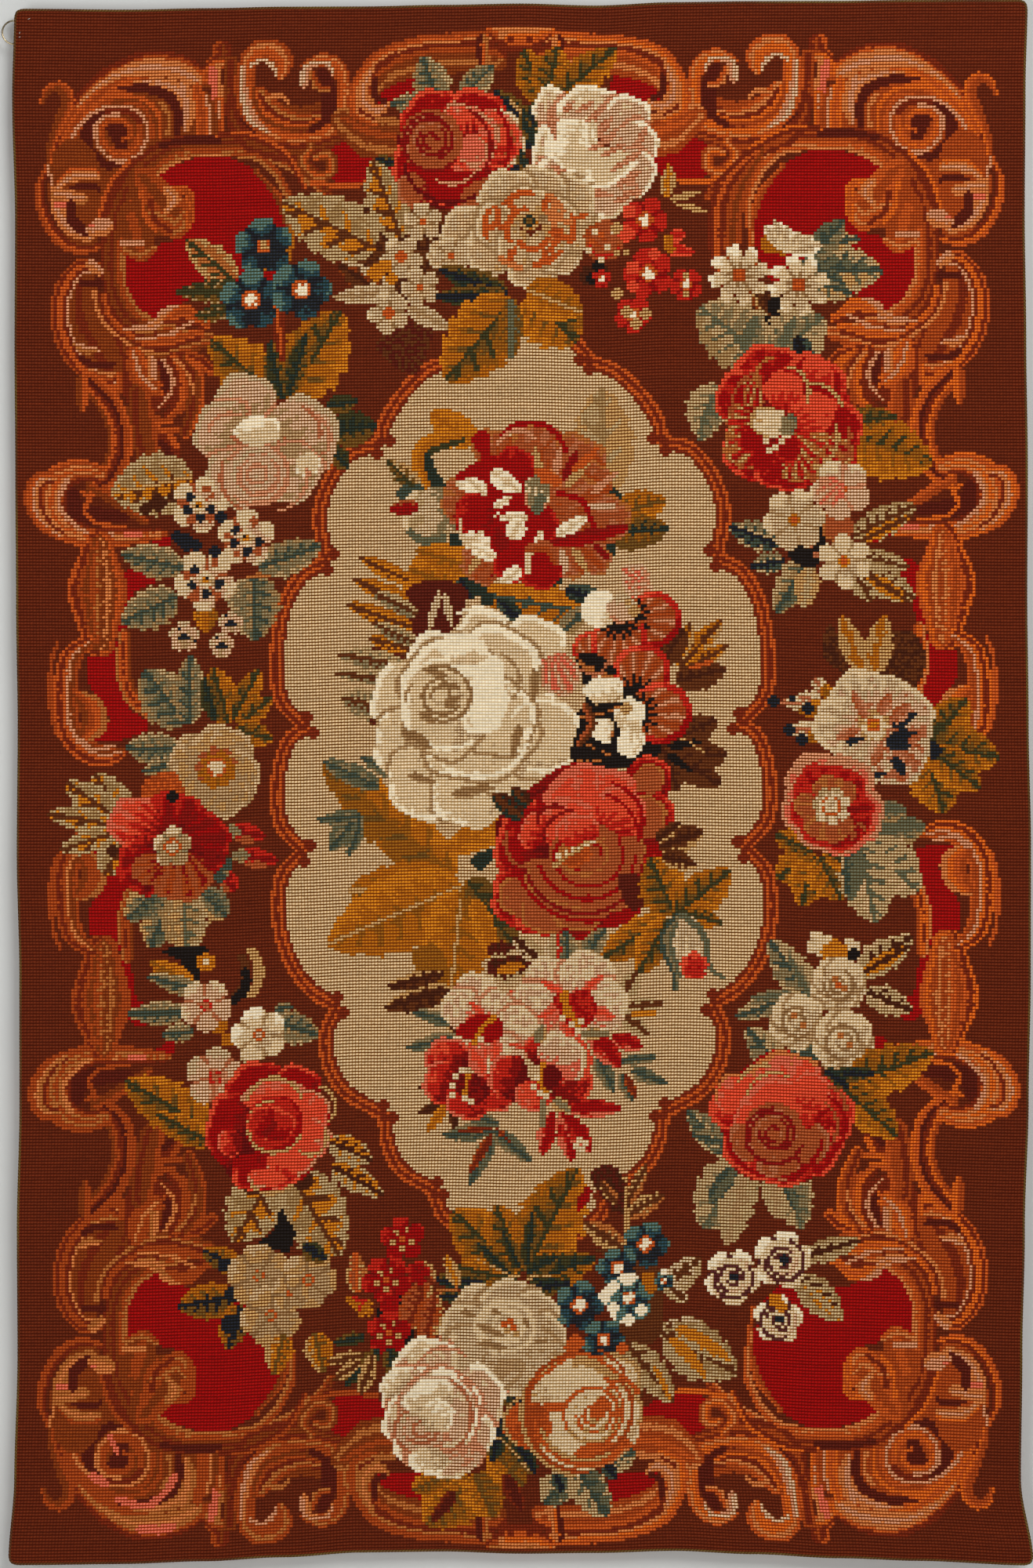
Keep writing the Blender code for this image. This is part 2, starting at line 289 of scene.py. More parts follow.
# each scroll's line, its width or its widths along it, and its wools
SCROLLS = (
    # the corner: its fields, then the broad shell over the top and the wound volute
    (((-102, 34), (-118, 32), (-132, 38), (-140, 50), (-138, 64)), (16, 24, 26, 22, 14), "nut"),
    (((-112, 96), (-124, 104), (-118, 118)), (12, 22, 20), "rust nut rust"),
    (((-100, 22), (-110, 18), (-120, 18.5), (-130, 24), (-138, 31), (-144, 41), (-148, 52)),
        (6, 9, 11, 12, 10, 7, 3), "nut copper flame copper flame copper rust"),
    (((-102, 23), (-108, 19.5), (-118, 18), (-126, 19.5), (-134, 24), (-141, 31)),
        (3, 6, 5.5, 3.6, 1.8, 1.3), LIGHT),
    (((-122, 22.5), (-113, 23.5), (-107, 27), (-105, 33), (-106, 38)), (1.5, 4, 5.5, 4, 2), LIGHT),
    (((-127, 24.5), (-118, 25), (-111, 28), (-108.5, 34), (-109, 39)), (1.5, 3, 3, 3, 2), DARK),
    (((-133, 28), (-126, 27), (-119, 28.5), (-115, 33), (-114.5, 40)), (1.4, 1.5, 1.5, 1.5, 1.4), HAIR),
    (((-125, 29.5), (-120, 30.5), (-117.5, 35), (-117, 41)), (1.4, 1.5, 1.5, 1.4), "copper"),
    (((-114, 29.5), (-111.5, 34), (-112, 40)), (1.4, 1.6, 1.4), "tan"),
    (((-130, 31.5), (-135, 34), (-138, 39), (-137, 45), (-132, 49), (-125, 49)), (2, 3, 3.6, 3.6, 3, 1.5),
        DARK),
    (((-131, 31.8), (-124, 32.3), (-121, 36), (-121.5, 42)), (2, 2.2, 2.2, 2), SHADE),
    (((-129, 37.5), (-127.5, 39), (-127, 43)), (5, 6, 4), DARK),
    (((-121, 37), (-122, 43), (-127, 46), (-131.5, 43.5), (-133.2, 39), (-131.5, 35.5), (-127.5, 34.5),
         (-124.3, 36.5), (-124, 40), (-127, 41)), (2, 3, 3, 2.8, 2.6, 2.4, 2.4, 2.4, 1.8, 1.4),
        "copper flame copper"),
    (((-146, 48), (-143.5, 42), (-139.5, 36), (-134, 31.7), (-128, 30.3), (-121.5, 32), (-118.6, 37),
         (-119.5, 43), (-123, 46.8), (-128, 48), (-132.5, 45.5), (-135, 40.5), (-134.5, 35.8), (-131, 33.4),
         (-127.5, 33)), 1.4, "blush"),
    (((-152, 29), (-150, 25.5), (-146, 24.5), (-143.5, 28.5), (-146, 35), (-149, 42), (-150.5, 49)),
        (1.5, 3, 4, 4, 4, 3, 2), "flame copper nut nut"),
    # its leaf, hooked at the left
    (((-142, 48), (-141, 58), (-140, 70)), (14, 20, 12), "nut"),
    (((-151, 50), (-153.5, 57), (-152, 66), (-147, 73.5), (-140, 76.5), (-133, 74.5)),
        (1.5, 3, 3.6, 3.8, 3, 1.5), "rust flame copper"),
    (((-149, 57), (-147.6, 64), (-144, 69.5), (-138, 72)), (3, 4.6, 4.6, 4), LIGHT),
    (((-147.5, 56), (-143, 52.6), (-136, 52.4)), (2, 4.6, 4), "flame apricot blush apricot"),
    (((-143, 56.6), (-138, 55.8), (-134, 57)), (1.4, 2.4, 1.4), DARK),
    (((-148.5, 58.6), (-144, 59.6), (-139.5, 60)), (4, 5.6, 3), "apricot blush apricot tan"),
    (((-150.6, 50), (-149.4, 55)), 1.2, "blush"),
    (((-148, 62), (-144, 62.2)), 1.8, "shell"),
    (((-143.5, 62), (-143, 67), (-139, 70.5), (-135, 71)), (3, 4, 3, 1), DARK),
    (((-124, 48), (-130, 55), (-133, 62), (-134, 67)), (2.4, 2.6, 2.6, 2), "rust flame"),
    # the finger and the post at the middle of the corner
    (((-95, 12.5), (-95.5, 15), (-99, 18)), (6, 6, 3), "rust nut rust copper"),
    (((-90.5, 18.5), (-95, 17.5), (-99, 20)), (2, 4, 4), "copper apricot flame"),
    (((-92, 17), (-91, 28), (-86, 37), (-76, 42)), (5, 6, 6, 3), "nut rust nut"),
    (((-106.5, 24), (-105, 31), (-106, 38)), (3, 4.4, 2.4), "apricot blush"),
    (((-102.5, 25), (-101, 32), (-101, 40)), (3.4, 4, 4), "flame copper flame"),
    (((-100, 27), (-98.6, 33), (-98.6, 40)), (1.2, 1.4, 1.2), "blush"),
    (((-97, 20), (-95.8, 29)), (4.4, 3.4), "apricot shell shell"),
    (((-95.5, 29), (-95, 37), (-95.5, 46)), 2.6, "flame blush copper"),
    # the corner panel's inner rail, its volute and its foot
    (((-60, 62), (-66, 54), (-74, 48), (-84, 43.5), (-97, 43), (-110, 44), (-120, 51), (-127, 62),
         (-130, 74), (-129.5, 88), (-124, 98), (-112, 104), (-98, 105)),
        (3, 6, 7, 8, 7, 7, 9, 9, 8, 8, 8, 8, 3), "tan copper nut rust nut rust"),
    (((-136.4, 70), (-134, 69), (-132, 68.4)), (4.6, 6, 4.4), "blush blush apricot"),
    (((-137.6, 68.6), (-136.4, 68.4)), 1.8, "shell"),
    (((-96, 41.5), (-106, 41.5), (-114, 43)), (2.4, 2.6, 1.6), DARK),
    (((-96, 46), (-105, 46.5), (-112, 49), (-117, 53), (-118.5, 59), (-117, 65)),
        (1.6, 2.2, 2.8, 2.8, 2.2, 1.5), "apricot tan copper"),
    (((-75, 84), (-74, 72), (-77, 61), (-84, 52)), (1.5, 2.4, 2.6, 1.5), "nut copper"),
    (((-121, 54), (-115, 63), (-111, 66)), (9, 17, 13), "copper nut copper nut"),
    (((-124, 66), (-122, 73), (-121, 77)), (10, 10, 6), "nut copper nut"),
    (((-117, 66), (-110, 70), (-107, 66)), (5, 6, 4), "tan copper tan copper"),
    (((-112, 57), (-107, 57.5), (-105, 62), (-106, 69)), (1.5, 3, 3, 2.4), "flame copper flame"),
    (((-112.5, 57.5), (-110.5, 60.5), (-113, 64)), (3, 4, 2), "apricot blush apricot"),
    (((-121, 57), (-120, 65), (-116, 71)), (1.4, 1.5, 1.4), HAIR),
    (((-118, 60), (-117, 66), (-112, 70.5)), (1.4, 1.6, 1.4), SHADE),
    (((-127.5, 74), (-121, 74)), 1.5, "blush"),
    (((-126, 77), (-121, 78.5), (-117, 76)), (2, 2.6, 2), "tan copper"),
    # the long acanthus leaf below, with its curls
    (((-140, 88), (-139, 98), (-134, 108), (-129, 116)), (10, 12, 11, 7), "nut nut rust nut"),
    (((-136, 81.5), (-141, 82), (-145.5, 88), (-147, 96), (-145.5, 105), (-141.5, 112), (-135, 118),
         (-129, 120)), (4, 5, 6, 6.4, 6.4, 6, 5, 4), "blush rust flame flame rust copper"),
    (((-137, 81), (-134.5, 83)), (4, 3), "blush apricot"),
    (((-140, 87), (-134.5, 87)), 3, DARK),
    (((-143, 106), (-139, 108), (-134.5, 108.5)), (1.4, 3, 1.8), "blush tan"),
    (((-140, 111), (-136, 113), (-130, 112.5)), (2, 2.6, 2), DARK),
    (((-137, 115), (-132, 116.5), (-128.5, 116)), (1.5, 2.6, 1.8), "apricot copper"),
    (((-128, 116), (-128.5, 121), (-134, 121.5)), (2, 3, 1.5), "copper flame"),
    (((-133.5, 91), (-132, 97), (-127.5, 102), (-121, 106)), (2.6, 3, 3, 2.4), "flame copper rust"),
    (((-136, 89), (-135.3, 95), (-132, 100.5), (-128, 104), (-123, 107.5), (-116, 109.5)),
        (1.3, 1.5, 1.4, 1.4, 1.4, 1.3), "apricot"),
    (((-126, 101.5), (-118, 101), (-112, 97.5), (-107, 95.5)), (1.5, 3.4, 6.5, 3), "blush apricot blush tan"),
    (((-113, 99), (-107, 97), (-100, 101)), (2, 6, 3), "flame copper flame rust"),
    (((-122, 104.3), (-114, 104), (-108, 101.5), (-104, 99)), (1.2, 1.5, 1.4, 1.2), "blush"),
    (((-119, 106.5), (-110, 105.5), (-102, 103)), (3, 4, 3), "flame copper flame rust"),
    (((-122, 109.5), (-114, 110), (-107, 108.5), (-99, 106)), (1.3, 2, 3, 2.6), "tan copper nut"),
    (((-109, 110), (-103, 112), (-99, 115)), (3, 5, 4), "copper rust flame copper"),
    (((-124, 109), (-122, 116), (-117, 121)), (5, 10, 6), "flame copper blush flame copper rust"),
    (((-118, 111), (-117.5, 117)), (3, 2.4), "blush apricot"),
    (((-114.5, 112.5), (-113, 117), (-113.5, 121)), (2, 3.4, 2), DARK),
    (((-111, 110.5), (-108, 117), (-108.5, 125), (-113, 130)), (3, 5, 5, 3), "copper flame rust"),
    (((-114, 111.5), (-111.3, 117), (-112, 122.5), (-116, 127)), (1.3, 1.5, 1.5, 1.3), "blush"),
    (((-108, 111), (-104, 117), (-104, 126), (-107, 135)), (3, 5.5, 5.5, 4), "flame nut rust nut"),
    (((-110, 111.5), (-106, 116.5), (-104.5, 122)), (1.2, 1.4, 1.2), "apricot"),
    (((-112, 131), (-116.5, 131), (-115, 134.5), (-110, 134)), (2, 3, 3, 2), "flame copper"),
    (((-117, 136), (-113, 138), (-111, 142)), (3, 5, 4), "rust chestnut"),
    (((-112, 135.5), (-110, 139.5)), 2, HAIR),
    # the stem and the hook that it bears
    (((-122, 122), (-121, 132), (-119, 142)), (7, 9, 8), "copper nut nut rust nut"),
    (((-138, 118), (-131, 126), (-128, 136), (-130, 146), (-136, 152)), (7, 8, 8, 8, 6),
        "flame copper chestnut rust flame nut"),
    (((-140, 118), (-140, 127)), (4, 3), "flame nut"),
    (((-134, 148), (-140, 146.5), (-147, 149), (-150, 156), (-148, 163), (-140, 167.5), (-128, 168),
         (-114, 167)), (5, 7, 9, 10, 9, 7, 6, 3), "rust copper apricot flame apricot copper flame"),
    (((-149, 149), (-154, 150), (-156, 156), (-153, 163), (-147, 168)), (3, 5, 6, 5, 3),
        "rust apricot blush flame copper"),
    (((-143, 153), (-142, 159), (-136, 161), (-126, 161)), (3, 6, 6, 3), DARK),
    (((-140, 153.5), (-138, 156), (-139.5, 160), (-135, 163.5), (-127, 164.5)), (1.4, 1.5, 1.5, 1.5, 1.4),
        HAIR),
    (((-145, 150), (-147.5, 156), (-145, 162), (-138, 166.5), (-130, 167)), (1.6, 1.6, 1.5, 1.4, 1.4),
        "blush"),
    (((-137, 152), (-130, 156), (-120, 163)), (3, 4, 3), "copper nut"),
    (((-126, 167), (-122, 167)), 2.4, "shell"),
    # the grained lobe, and the long scroll that faces its twin
    (((-135, 170), (-135.5, 185), (-135, 201.5)), (9, 20, 10),
        "copper flame nut apricot nut tan copper nut copper rust flame"),
    (((-138, 201), (-144, 206), (-146, 216), (-145.5, 228), (-141, 235), (-134, 238), (-127, 236)),
        (4, 7, 8, 8, 8, 7, 3), "copper nut blush flame rust flame"),
    (((-142, 218), (-138, 222), (-137, 227), (-140, 232)), (3, 8, 9, 4), "tan flame copper nut"),
    (((-142, 232), (-137, 235.5), (-131, 234.5)), (1.4, 1.6, 1.4), "blush"),
    (((-127, 199), (-127.5, 210), (-125, 219), (-118, 226)), (4, 5, 5, 3), "nut flame rust flame tan"),
    (((-148, 201), (-150.5, 208), (-151, 220), (-149, 232)), (1.4, 1.6, 1.6, 1.4), "copper"),
    # two facing curls on one bowl
    (((-92, 26), (-90, 36), (-83, 43), (-70, 45), (-58, 42)), (3, 6, 9, 8, 4), "chestnut rust nut rust"),
    (((-88, 30), (-80, 35), (-70, 37), (-60, 34)), (8, 12, 11, 9), "nut rust nut rust"),
    (((-76, 22), (-75.5, 17), (-79, 13.5), (-84, 14), (-87, 19), (-87, 27), (-84, 35), (-77, 40.5),
         (-68, 41.5), (-60, 38.5), (-56.5, 32), (-56, 24), (-58, 18.5), (-63, 16.5), (-68, 18.5)),
        (3, 7, 7.5, 7, 6, 7, 7, 4.5, 3.6, 5, 5, 4.6, 4.6, 4.6, 3), "copper flame flame apricot copper"),
    (((-88, 19), (-87.5, 27), (-85, 35), (-80, 39.5)), (1.6, 3, 3.4, 1.5), "blush pink"),
    (((-86, 18), (-82, 16.5), (-79, 18), (-77.5, 21)), (1.4, 1.5, 1.5, 1.3), "pink"),
    (((-63, 20), (-60.5, 26), (-61, 34), (-66, 39)), (3, 4.6, 4.4, 2), DARK),
    (((-83, 27), (-79, 33), (-71, 36.5), (-64, 35)), (5, 8, 6, 3), "copper tan rust flame nut"),
    (((-80, 28.5), (-76, 28), (-73, 31)), (1.5, 1.6, 1.4), "apricot"),
    (((-68.5, 24), (-68, 20), (-65, 17.8), (-61, 18), (-59, 22)), (3, 3, 2, 1.5, 1.3), "pink blush"),
    (((-66, 21), (-64.5, 25), (-61, 26)), (2, 2.4, 2), "copper tan"),
    (((-96, 40.5), (-86, 40.5), (-79, 43.5), (-73, 49), (-69, 57)), (1.5, 2.6, 2.6, 2.6, 1.5), "flame rust"),
    (((-92, 46.5), (-84, 47.5), (-77, 54), (-73, 64), (-74, 76)), (1.5, 2.6, 2.8, 2.6, 1.5), "copper tan"),
    # the arch that meets its twin, and the block under it
    (((-56, 36), (-48, 41), (-36, 43)), (8, 14, 14), "tan nut copper nut tan nut"),
    (((-8, 17), (-18, 16), (-32, 17), (-43, 22), (-48, 30)), (9, 11, 11, 8, 3), "nut tan nut copper rust"),
    (((-6, 10.5), (-18, 10.5), (-31, 11.5), (-44, 15.5), (-51, 24), (-52, 33), (-46, 37)),
        (4, 4.4, 4.6, 4.8, 4.8, 4.4, 3), "rust apricot flame copper"),
    (((-47, 20), (-49.5, 26), (-48.5, 31), (-45, 33), (-41.5, 31)), (1.6, 4, 4, 4, 2), LIGHT),
    (((-45.5, 23), (-46, 28), (-43, 30)), 2, DARK),
    (((-12, 11), (-11, 22)), 4, "tan flame chestnut"),
    (((-66, 44), (-69, 49), (-65, 54), (-60, 52), (-61, 47), (-65, 48)), (3, 4, 4, 4, 4, 3),
        "nut flame tan nut"),
    (((-66, 56), (-56, 57), (-46, 56)), 2, HAIR),
    (((-10, 8), (-3, 11), (3, 11)), (3, 7, 9), "apricot flame copper rust"),
)


def scroll_quarter(side, foot):
    """One quarter of the frame; side is -1 at the left, and foot is True at the bottom."""
    changed = {"flame": "copper", "apricot": "tan", "blush": "apricot", "pink": "blush"} if foot else {}
    if side > 0:
        changed = {"nut": "copper", "copper": "flame", "flame": "ember", "tan": "apricot"}

    def place(points):
        return [(-side * column, FOOT_ROW - row if foot else row) for column, row in points]

    for number, (line, widths, wools) in enumerate(SCROLLS, 1):
        names = [changed.get(name, name) for name in wools.split()]
        band(place(line), widths, " ".join(names[::-1] if (side > 0) != foot else names))
        if number == FIELDS_UNDER_PANELS:
            for outline in PANELS:
                fill(place(outline), "scarlet")


for side in (-1, 1):
    for foot in (False, True):
        scroll_quarter(side, foot)
# the knobs on both arches, the top right panel's inner band, and pink patches at the left foot
for row in (11, 489):
    for column in (-3, 3):
        blossom((column, row), 1.4, "rust", eye=0)
band(((66, 88), (65.5, 73), (68, 59), (77, 47)), (8, 11, 11, 4), "rust flame rust copper nut copper")
for line, width in ((((-128, 475), (-119, 477), (-113, 473), (-110, 468)), 2.6),
        (((-136, 467.5), (-132, 470)), 3), (((-120, 484.5), (-114, 485), (-110, 484)), 3),
        (((-131, 455), (-128.5, 460)), 1.8)):
    band(line, width, "shell")


# The medallion: a cream field with two flame lines and two rust lines round it. Its edge swells out
# between one cusp and the next, and each cusp ends in two small rust knobs. These are the right half's.
BULGES = (
    ((0, 106), (9, 107), (15, 109), (19, 113)),
    ((22, 116), (29, 119), (36, 126), (41, 134), (42, 139)),
    ((46, 143), (53, 145), (59, 153), (62, 163), (60, 175)),
    ((62, 180), (69, 184), (74, 194), (76, 208), (75, 220), (69, 227)),
    ((67, 232), (73, 236), (76, 248), (75, 260), (68, 268)),
    ((70, 273), (75, 279), (76, 291), (73, 303), (67, 312), (60, 317)),
    ((58, 322), (61, 329), (60, 338), (55, 346), (45, 352)),
    ((42, 356), (41, 363), (37, 371), (27, 377)),
    ((25, 381), (22, 387), (12, 393), (0, 396)),
)
EDGE_WIDTH = 4.8

half_edge = np.vstack([smooth(bulge) for bulge in BULGES])
whole_edge = np.vstack([half_edge, half_edge[::-1] * (-1, 1)])
away = np.full(chart.shape, 2 * EDGE_WIDTH)
for place in whole_edge:
    where, right, down = spot(place, EDGE_WIDTH + 1)
    away[where] = np.minimum(away[where], np.hypot(right, down))
everywhere = (slice(None), slice(None))
work(everywhere, away < EDGE_WIDTH, away / EDGE_WIDTH, "rust flame rust flame", 0)
fill(whole_edge, "cream", rounded=False)
for before, after in zip(BULGES, BULGES[1:]):
    for column, row in (before[-1], after[0]):
        dots("rust", [(column, row, 1.9), (-column, row, 1.9)])


# The bouquet in the medallion: a striped peony, a great white rose, a red rose, auriculas and
# azaleas, among ochre and sage leaves.
RED_ROSE = "garnet crimson scarlet scarlet cherry coral"
OCHRE_LEAF = "bottle olive moss ochre ochre gold"
GREY_LEAF = "teal sea lichen sage lichen pear"
leaf((26, 156), (26, 122), 22, "sage pear straw straw", veins=4)
leaf((-15, 140), (-29, 130), 12, "ochre gold gold", rib="ochre")
band([(-20, 138), (-30, 141), (-32, 147), (-27, 156)], (5, 6, 6, 4), "bottle ochre gold")
band([(-30, 144), (-28, 151), (-24, 157)], (2, 4, 4), "pine")
leaf((-32, 156), (-43, 145), 8, "bottle olive pear straw")
dots("teal", ((-37, 156, 2.6), (-33, 155, 2)))
leaf((29, 163), (46, 159), 13, "olive ochre ochre gold")
leaf((28, 169), (47, 168), 13, "pine olive moss olive", veins=6)
dots("pine", ((27, 174, 3.2), (24, 173, 2.4), (29, 157, 2.6)))
petal((-29, 163), 2.4, 9, "teal lichen oat pear ivory", 1, 0.04)
arc((-29, 163), 8.5, 60, 80, "sea", 3)
leaf((-33, 160), (-42, 161), 5.5, "scarlet crimson fawn")
fill(((-37, 182), (-30, 173), (-18, 173), (-13, 184), (-20, 190), (-36, 190)), "ochre gold ochre")
spray(((-16, 188, -36, 180, 12), (-17, 180, -34, 174, 8)), "moss ochre ochre gold")
leaf((21, 194), (-14, 188), 15, "teal ochre ochre gold gold", veins=6)
spray(((-16, 190, -20, 183, 7), (0, 197, -8, 190, 6), (14, 187, 27, 190, 7), (8, 185, 14, 181, 5)),
    "ink teal pine")
dots("pine", ((-21, 171, 2.4), (-14, 186, 3.2), (-11, 190, 2.4)))
leaf((20, 193), (12, 201), 7, "teal sage lichen")
COPPER_STREAK = "crimson copper fawn fawn rose tan"
flower(COPPER_STREAK, ((5, 143, 285, 10, 1, 0), (17, 147, 315, 10.5, 1, 0), (23, 152, 340, 6, 1.1, 0),
     (-10, 141, 250, 5.5, 1.1, 0.1), (-21, 158, 185, 4.5, 1.7, 0.1), (17, 159, 345, 10, 1, 0.1),
     (27, 164, 5, 8, 1, 0.1), (15, 176, 60, 7.5, 1, 0.1), (23, 176, 60, 6.5, 0.8, 0.15),
     (-13, 179, 130, 6, 1.2, 0)), line="copper", streak=0.16)
for column, row, tip_column, tip_row, wool in ((6, 150, 4, 141, "straw"), (11, 150, 13, 140, "blush"),
        (14, 154, 22, 145, "straw"), (18, 158, 29, 154, "copper"), (13, 152, 18, 142, "crimson"),
        (20, 160, 31, 160, "pink"), (20, 163, 32, 163, "fawn"), (16, 173, 21, 181, "straw"),
        (19, 173, 26, 180, "copper"), (13, 174, 14, 182, "pink"), (23, 172, 28, 177, "crimson"),
        (2, 148, -2, 141, "copper"), (-13, 176, -17, 182, "straw"), (16, 149, 25, 141, "flame"),
        (22, 156, 31, 149, "blush")):
    leaf((column, row), (tip_column, tip_row), 3, wool, veins=1, teeth=2)
arc((3, 145), 11.5, 215, 130, "scarlet", 2)
arc((-1, 143), 7, 200, 120, "blush", 1.6)
fill(((-16, 139), (-11, 136), (-9, 144), (1, 143), (2, 152), (2, 160), (10, 164), (13, 171), (3, 174),
     (1, 180), (-4, 184), (-9, 181), (-10, 174), (-19, 171), (-21, 160), (-12, 158), (-21, 151),
     (-13, 145)), "scarlet")
flower("crimson scarlet scarlet cherry", ((-15, 163, 180, 6, 1.2, 0.1), (4, 167, 60, 7.5, 1.1, 0.1),
     (-3, 178, 100, 6.5, 1, 0.1), (6, 181, 90, 6, 1.1, 0.1), (-2, 147, 300, 5.5, 1.2, 0.1),
     (-9, 172, 130, 4.5, 1.1, -0.2)))
STRIPE = "ivory white white"
spray(((-10, 149, 0, 156, 7), (-11, 154, -21, 153, 5), (-18, 151, -11, 157, 4), (2, 164, -9, 163, 5),
     (0, 165, -4, 171, 7), (-10, 173, -20, 170, 7), (-8, 177, -18, 172, 5), (0, 180, -7, 185, 5),
     (11, 170, 21, 163, 5), (-9, 161, -3, 157, 3), (2, 173, 2, 183, 2), (6, 168, 5, 173, 2.6)), STRIPE,
    veins=3, teeth=4, rib="ivory")
band([(-12, 168), (-18, 171), (-20, 164)], (1.2, 1.4, 1.2), "ivory")
band([(-8, 164), (-4, 161), (2, 162)], (1, 1.8, 1), "scarlet")
petal((5, 156), 1.6, 6, "sea lichen ivory blush", 0.7, 0)
dots("sea", ((6, 158, 1.8), (5, 161, 1.6)))
petal((9, 151), 0.5, 5, "flame flame apricot", 0.5, 0)
band([(12, 156), (19, 158), (23, 166)], (1.6, 2, 1.6), "scarlet")
band([(10, 172), (20, 170), (33, 167)], (2, 5, 3), "crimson scarlet scarlet")
band([(2, 174), (8, 173), (11, 178)], (3, 4, 2), "fawn copper")
band([(36, 183), (38, 190), (36, 198)], (9, 8, 4), "pink blush shell pink", 0.8)

fill(((-36, 186), (-18, 186), (-22, 200), (-34, 202)), "bark chestnut ochre")
spray(((-26, 187, -30, 201, 3), (-25, 188, -22, 199, 3)), "oat")
fill(((-49, 206), (-38, 203), (-37, 210), (-44, 216), (-45, 229), (-50, 228), (-47, 216)), "bark chestnut")
spray(((-35, 199, -56, 191, 7), (-36, 191, -54, 183, 7), (-35, 206, -49, 202, 6), (-36, 184, -52, 176, 6)),
    "bark gold gold ochre", veins=7)
spray(((-33, 195, -48, 187, 6), (-34, 204, -48, 197, 6), (-38, 211, -59, 207, 8), (-42, 216, -60, 213, 5),
     (-44, 225, -58, 221, 11)), "bark lichen pear pear", veins=7)
leaf((-22, 279), (-64, 242), 20, "olive moss moss ochre gold", veins=6, rib="moss")
spray(((-46, 250, -64, 241, 8), (-40, 246, -52, 240, 6), (-52, 258, -62, 270, 9), (-52, 259, -66, 260, 5),
     (-52, 262, -56, 272, 5)), "teal sea lichen sea", veins=3)
leaf((-24, 271), (7, 252), 12, "gold ochre gold gold", rib="ochre")
leaf((-2, 259), (7, 251), 8, "gold gold straw")
dots("pine", ((-4, 251, 2.6), (-1, 250, 1.8), (-14, 274, 2.6), (-11, 272, 2)))
dots("bark", ((-6, 256, 2.8), (-9, 254, 1.6)))
leaf((-20, 283), (-56, 283), 20, "olive moss ochre ochre", veins=6, rib="straw")
leaf((-20, 282), (-63, 300), 27, "moss ochre ochre gold", veins=7, rib="straw")
leaf((-20, 283), (-24, 318), 24, "moss ochre ochre gold", veins=6, rib="straw")
leaf((-18, 280), (-3, 302), 16, "bottle olive olive moss")
leaf((-16, 286), (-10, 306), 8, "ochre gold")
fill(((-36, 303), (-28, 301), (-24, 312), (-33, 311)), "ochre moss olive")
spray(((-24, 315, -45, 321, 9), (-26, 310, -44, 314, 6), (-26, 318, -22, 330, 5)), "umber bark umber straw")
spray(((-12, 309, 2, 307, 10), (-12, 303, -3, 301, 6)), "chestnut umber chestnut pear")
leaf((-9, 309), (0, 307), 4, "gold ochre gold")
leaf((6, 306), (-4, 298), 7, "umber oat pear")
GREAT_WHITE = "stone oat oat ivory ivory ivory ivory white"
flower(GREAT_WHITE, ((-12, 204, 268, 11, 0.9, 0.06), (3, 207, 300, 12, 0.95, 0.04),
     (-27, 211, 235, 10.5, 1.1, -0.06), (-38, 222, 185, 10.5, 1.2, -0.06),
     (-36, 237, 150, 11.5, 1.1, -0.08), (-30, 249, 120, 12.5, 1.1, -0.04), (-17, 252, 95, 11.5, 1.1, 0.04),
     (-4, 243, 65, 10, 1.1, 0.04), (6, 234, 15, 12.5, 1.1, 0.04), (-14, 234, 80, 14, 1.3, 0.04),
     (-9, 213, 330, 14.5, 1, 0.14), (-8, 228, 20, 12, 1, 0.1), (-24, 216, 250, 12.5, 1.2, 0.04),
     (-26, 229, 130, 11, 1.2, 0.02)), line="stone")
flower("oat ivory white white", ((-14, 214, 320, 8, 1.1, 0.2), (-13, 224, 20, 8, 1.2, 0.2),
     (-19, 206, 280, 5, 1.6, 0.2)))
cup((-26, 221), 10, "stone oat ivory ivory", "taupe", 250, 3, 0.95)
flower(GREAT_WHITE, (), ((-24, 223, 15, 60, 130, "white"), (-14, 231, 16, 20, 100, "white"),
     (6, 234, 11.6, 215, 100, "white"), (6, 233, 12, 340, 130, "white"), (-26, 222, 12.5, 190, 90, "white"),
     (-9, 214, 6, 280, 90, "ivory"), (-10, 216, 9, 290, 110, "stone"), (-30, 246, 14, 60, 80, "white"),
     (-14, 206, 13, 240, 60, "white")))
spray(((-39, 232, -29, 238, 5), (-37, 246, -28, 249, 3), (-23, 253, -9, 250, 4), (4, 212, 3, 224, 3),
     (-1, 230, -4, 241, 3.4), (-32, 212, -24, 215, 3), (-27, 217, -20, 219, 3), (-25, 225, -20, 221, 4),
     (-33, 226, -28, 230, 4)), "taupe taupe stone", veins=2, teeth=2)
petal((12, 214), 1.2, 7, "rose shell blush pink", 0.9, 0.1, 0.25)

spray(((50, 213, 64, 197, 8), (50, 210, 54, 198, 6), (52, 214, 66, 205, 6)), "bark ochre gold straw", veins=6)
spray(((49, 217, 65, 213, 10), (44, 212, 52, 200, 9), (48, 236, 62, 229, 11), (45, 243, 65, 240, 13),
     (46, 240, 63, 250, 12), (44, 236, 49, 252, 12)), "umber bark bark bark")
spray(((46, 238, 58, 236, 3), (46, 240, 54, 246, 3)), "black")
band([(44, 236), (50, 235), (58, 240)], 1, "straw")
leaf((53, 213), (62, 210), 2, "flame")


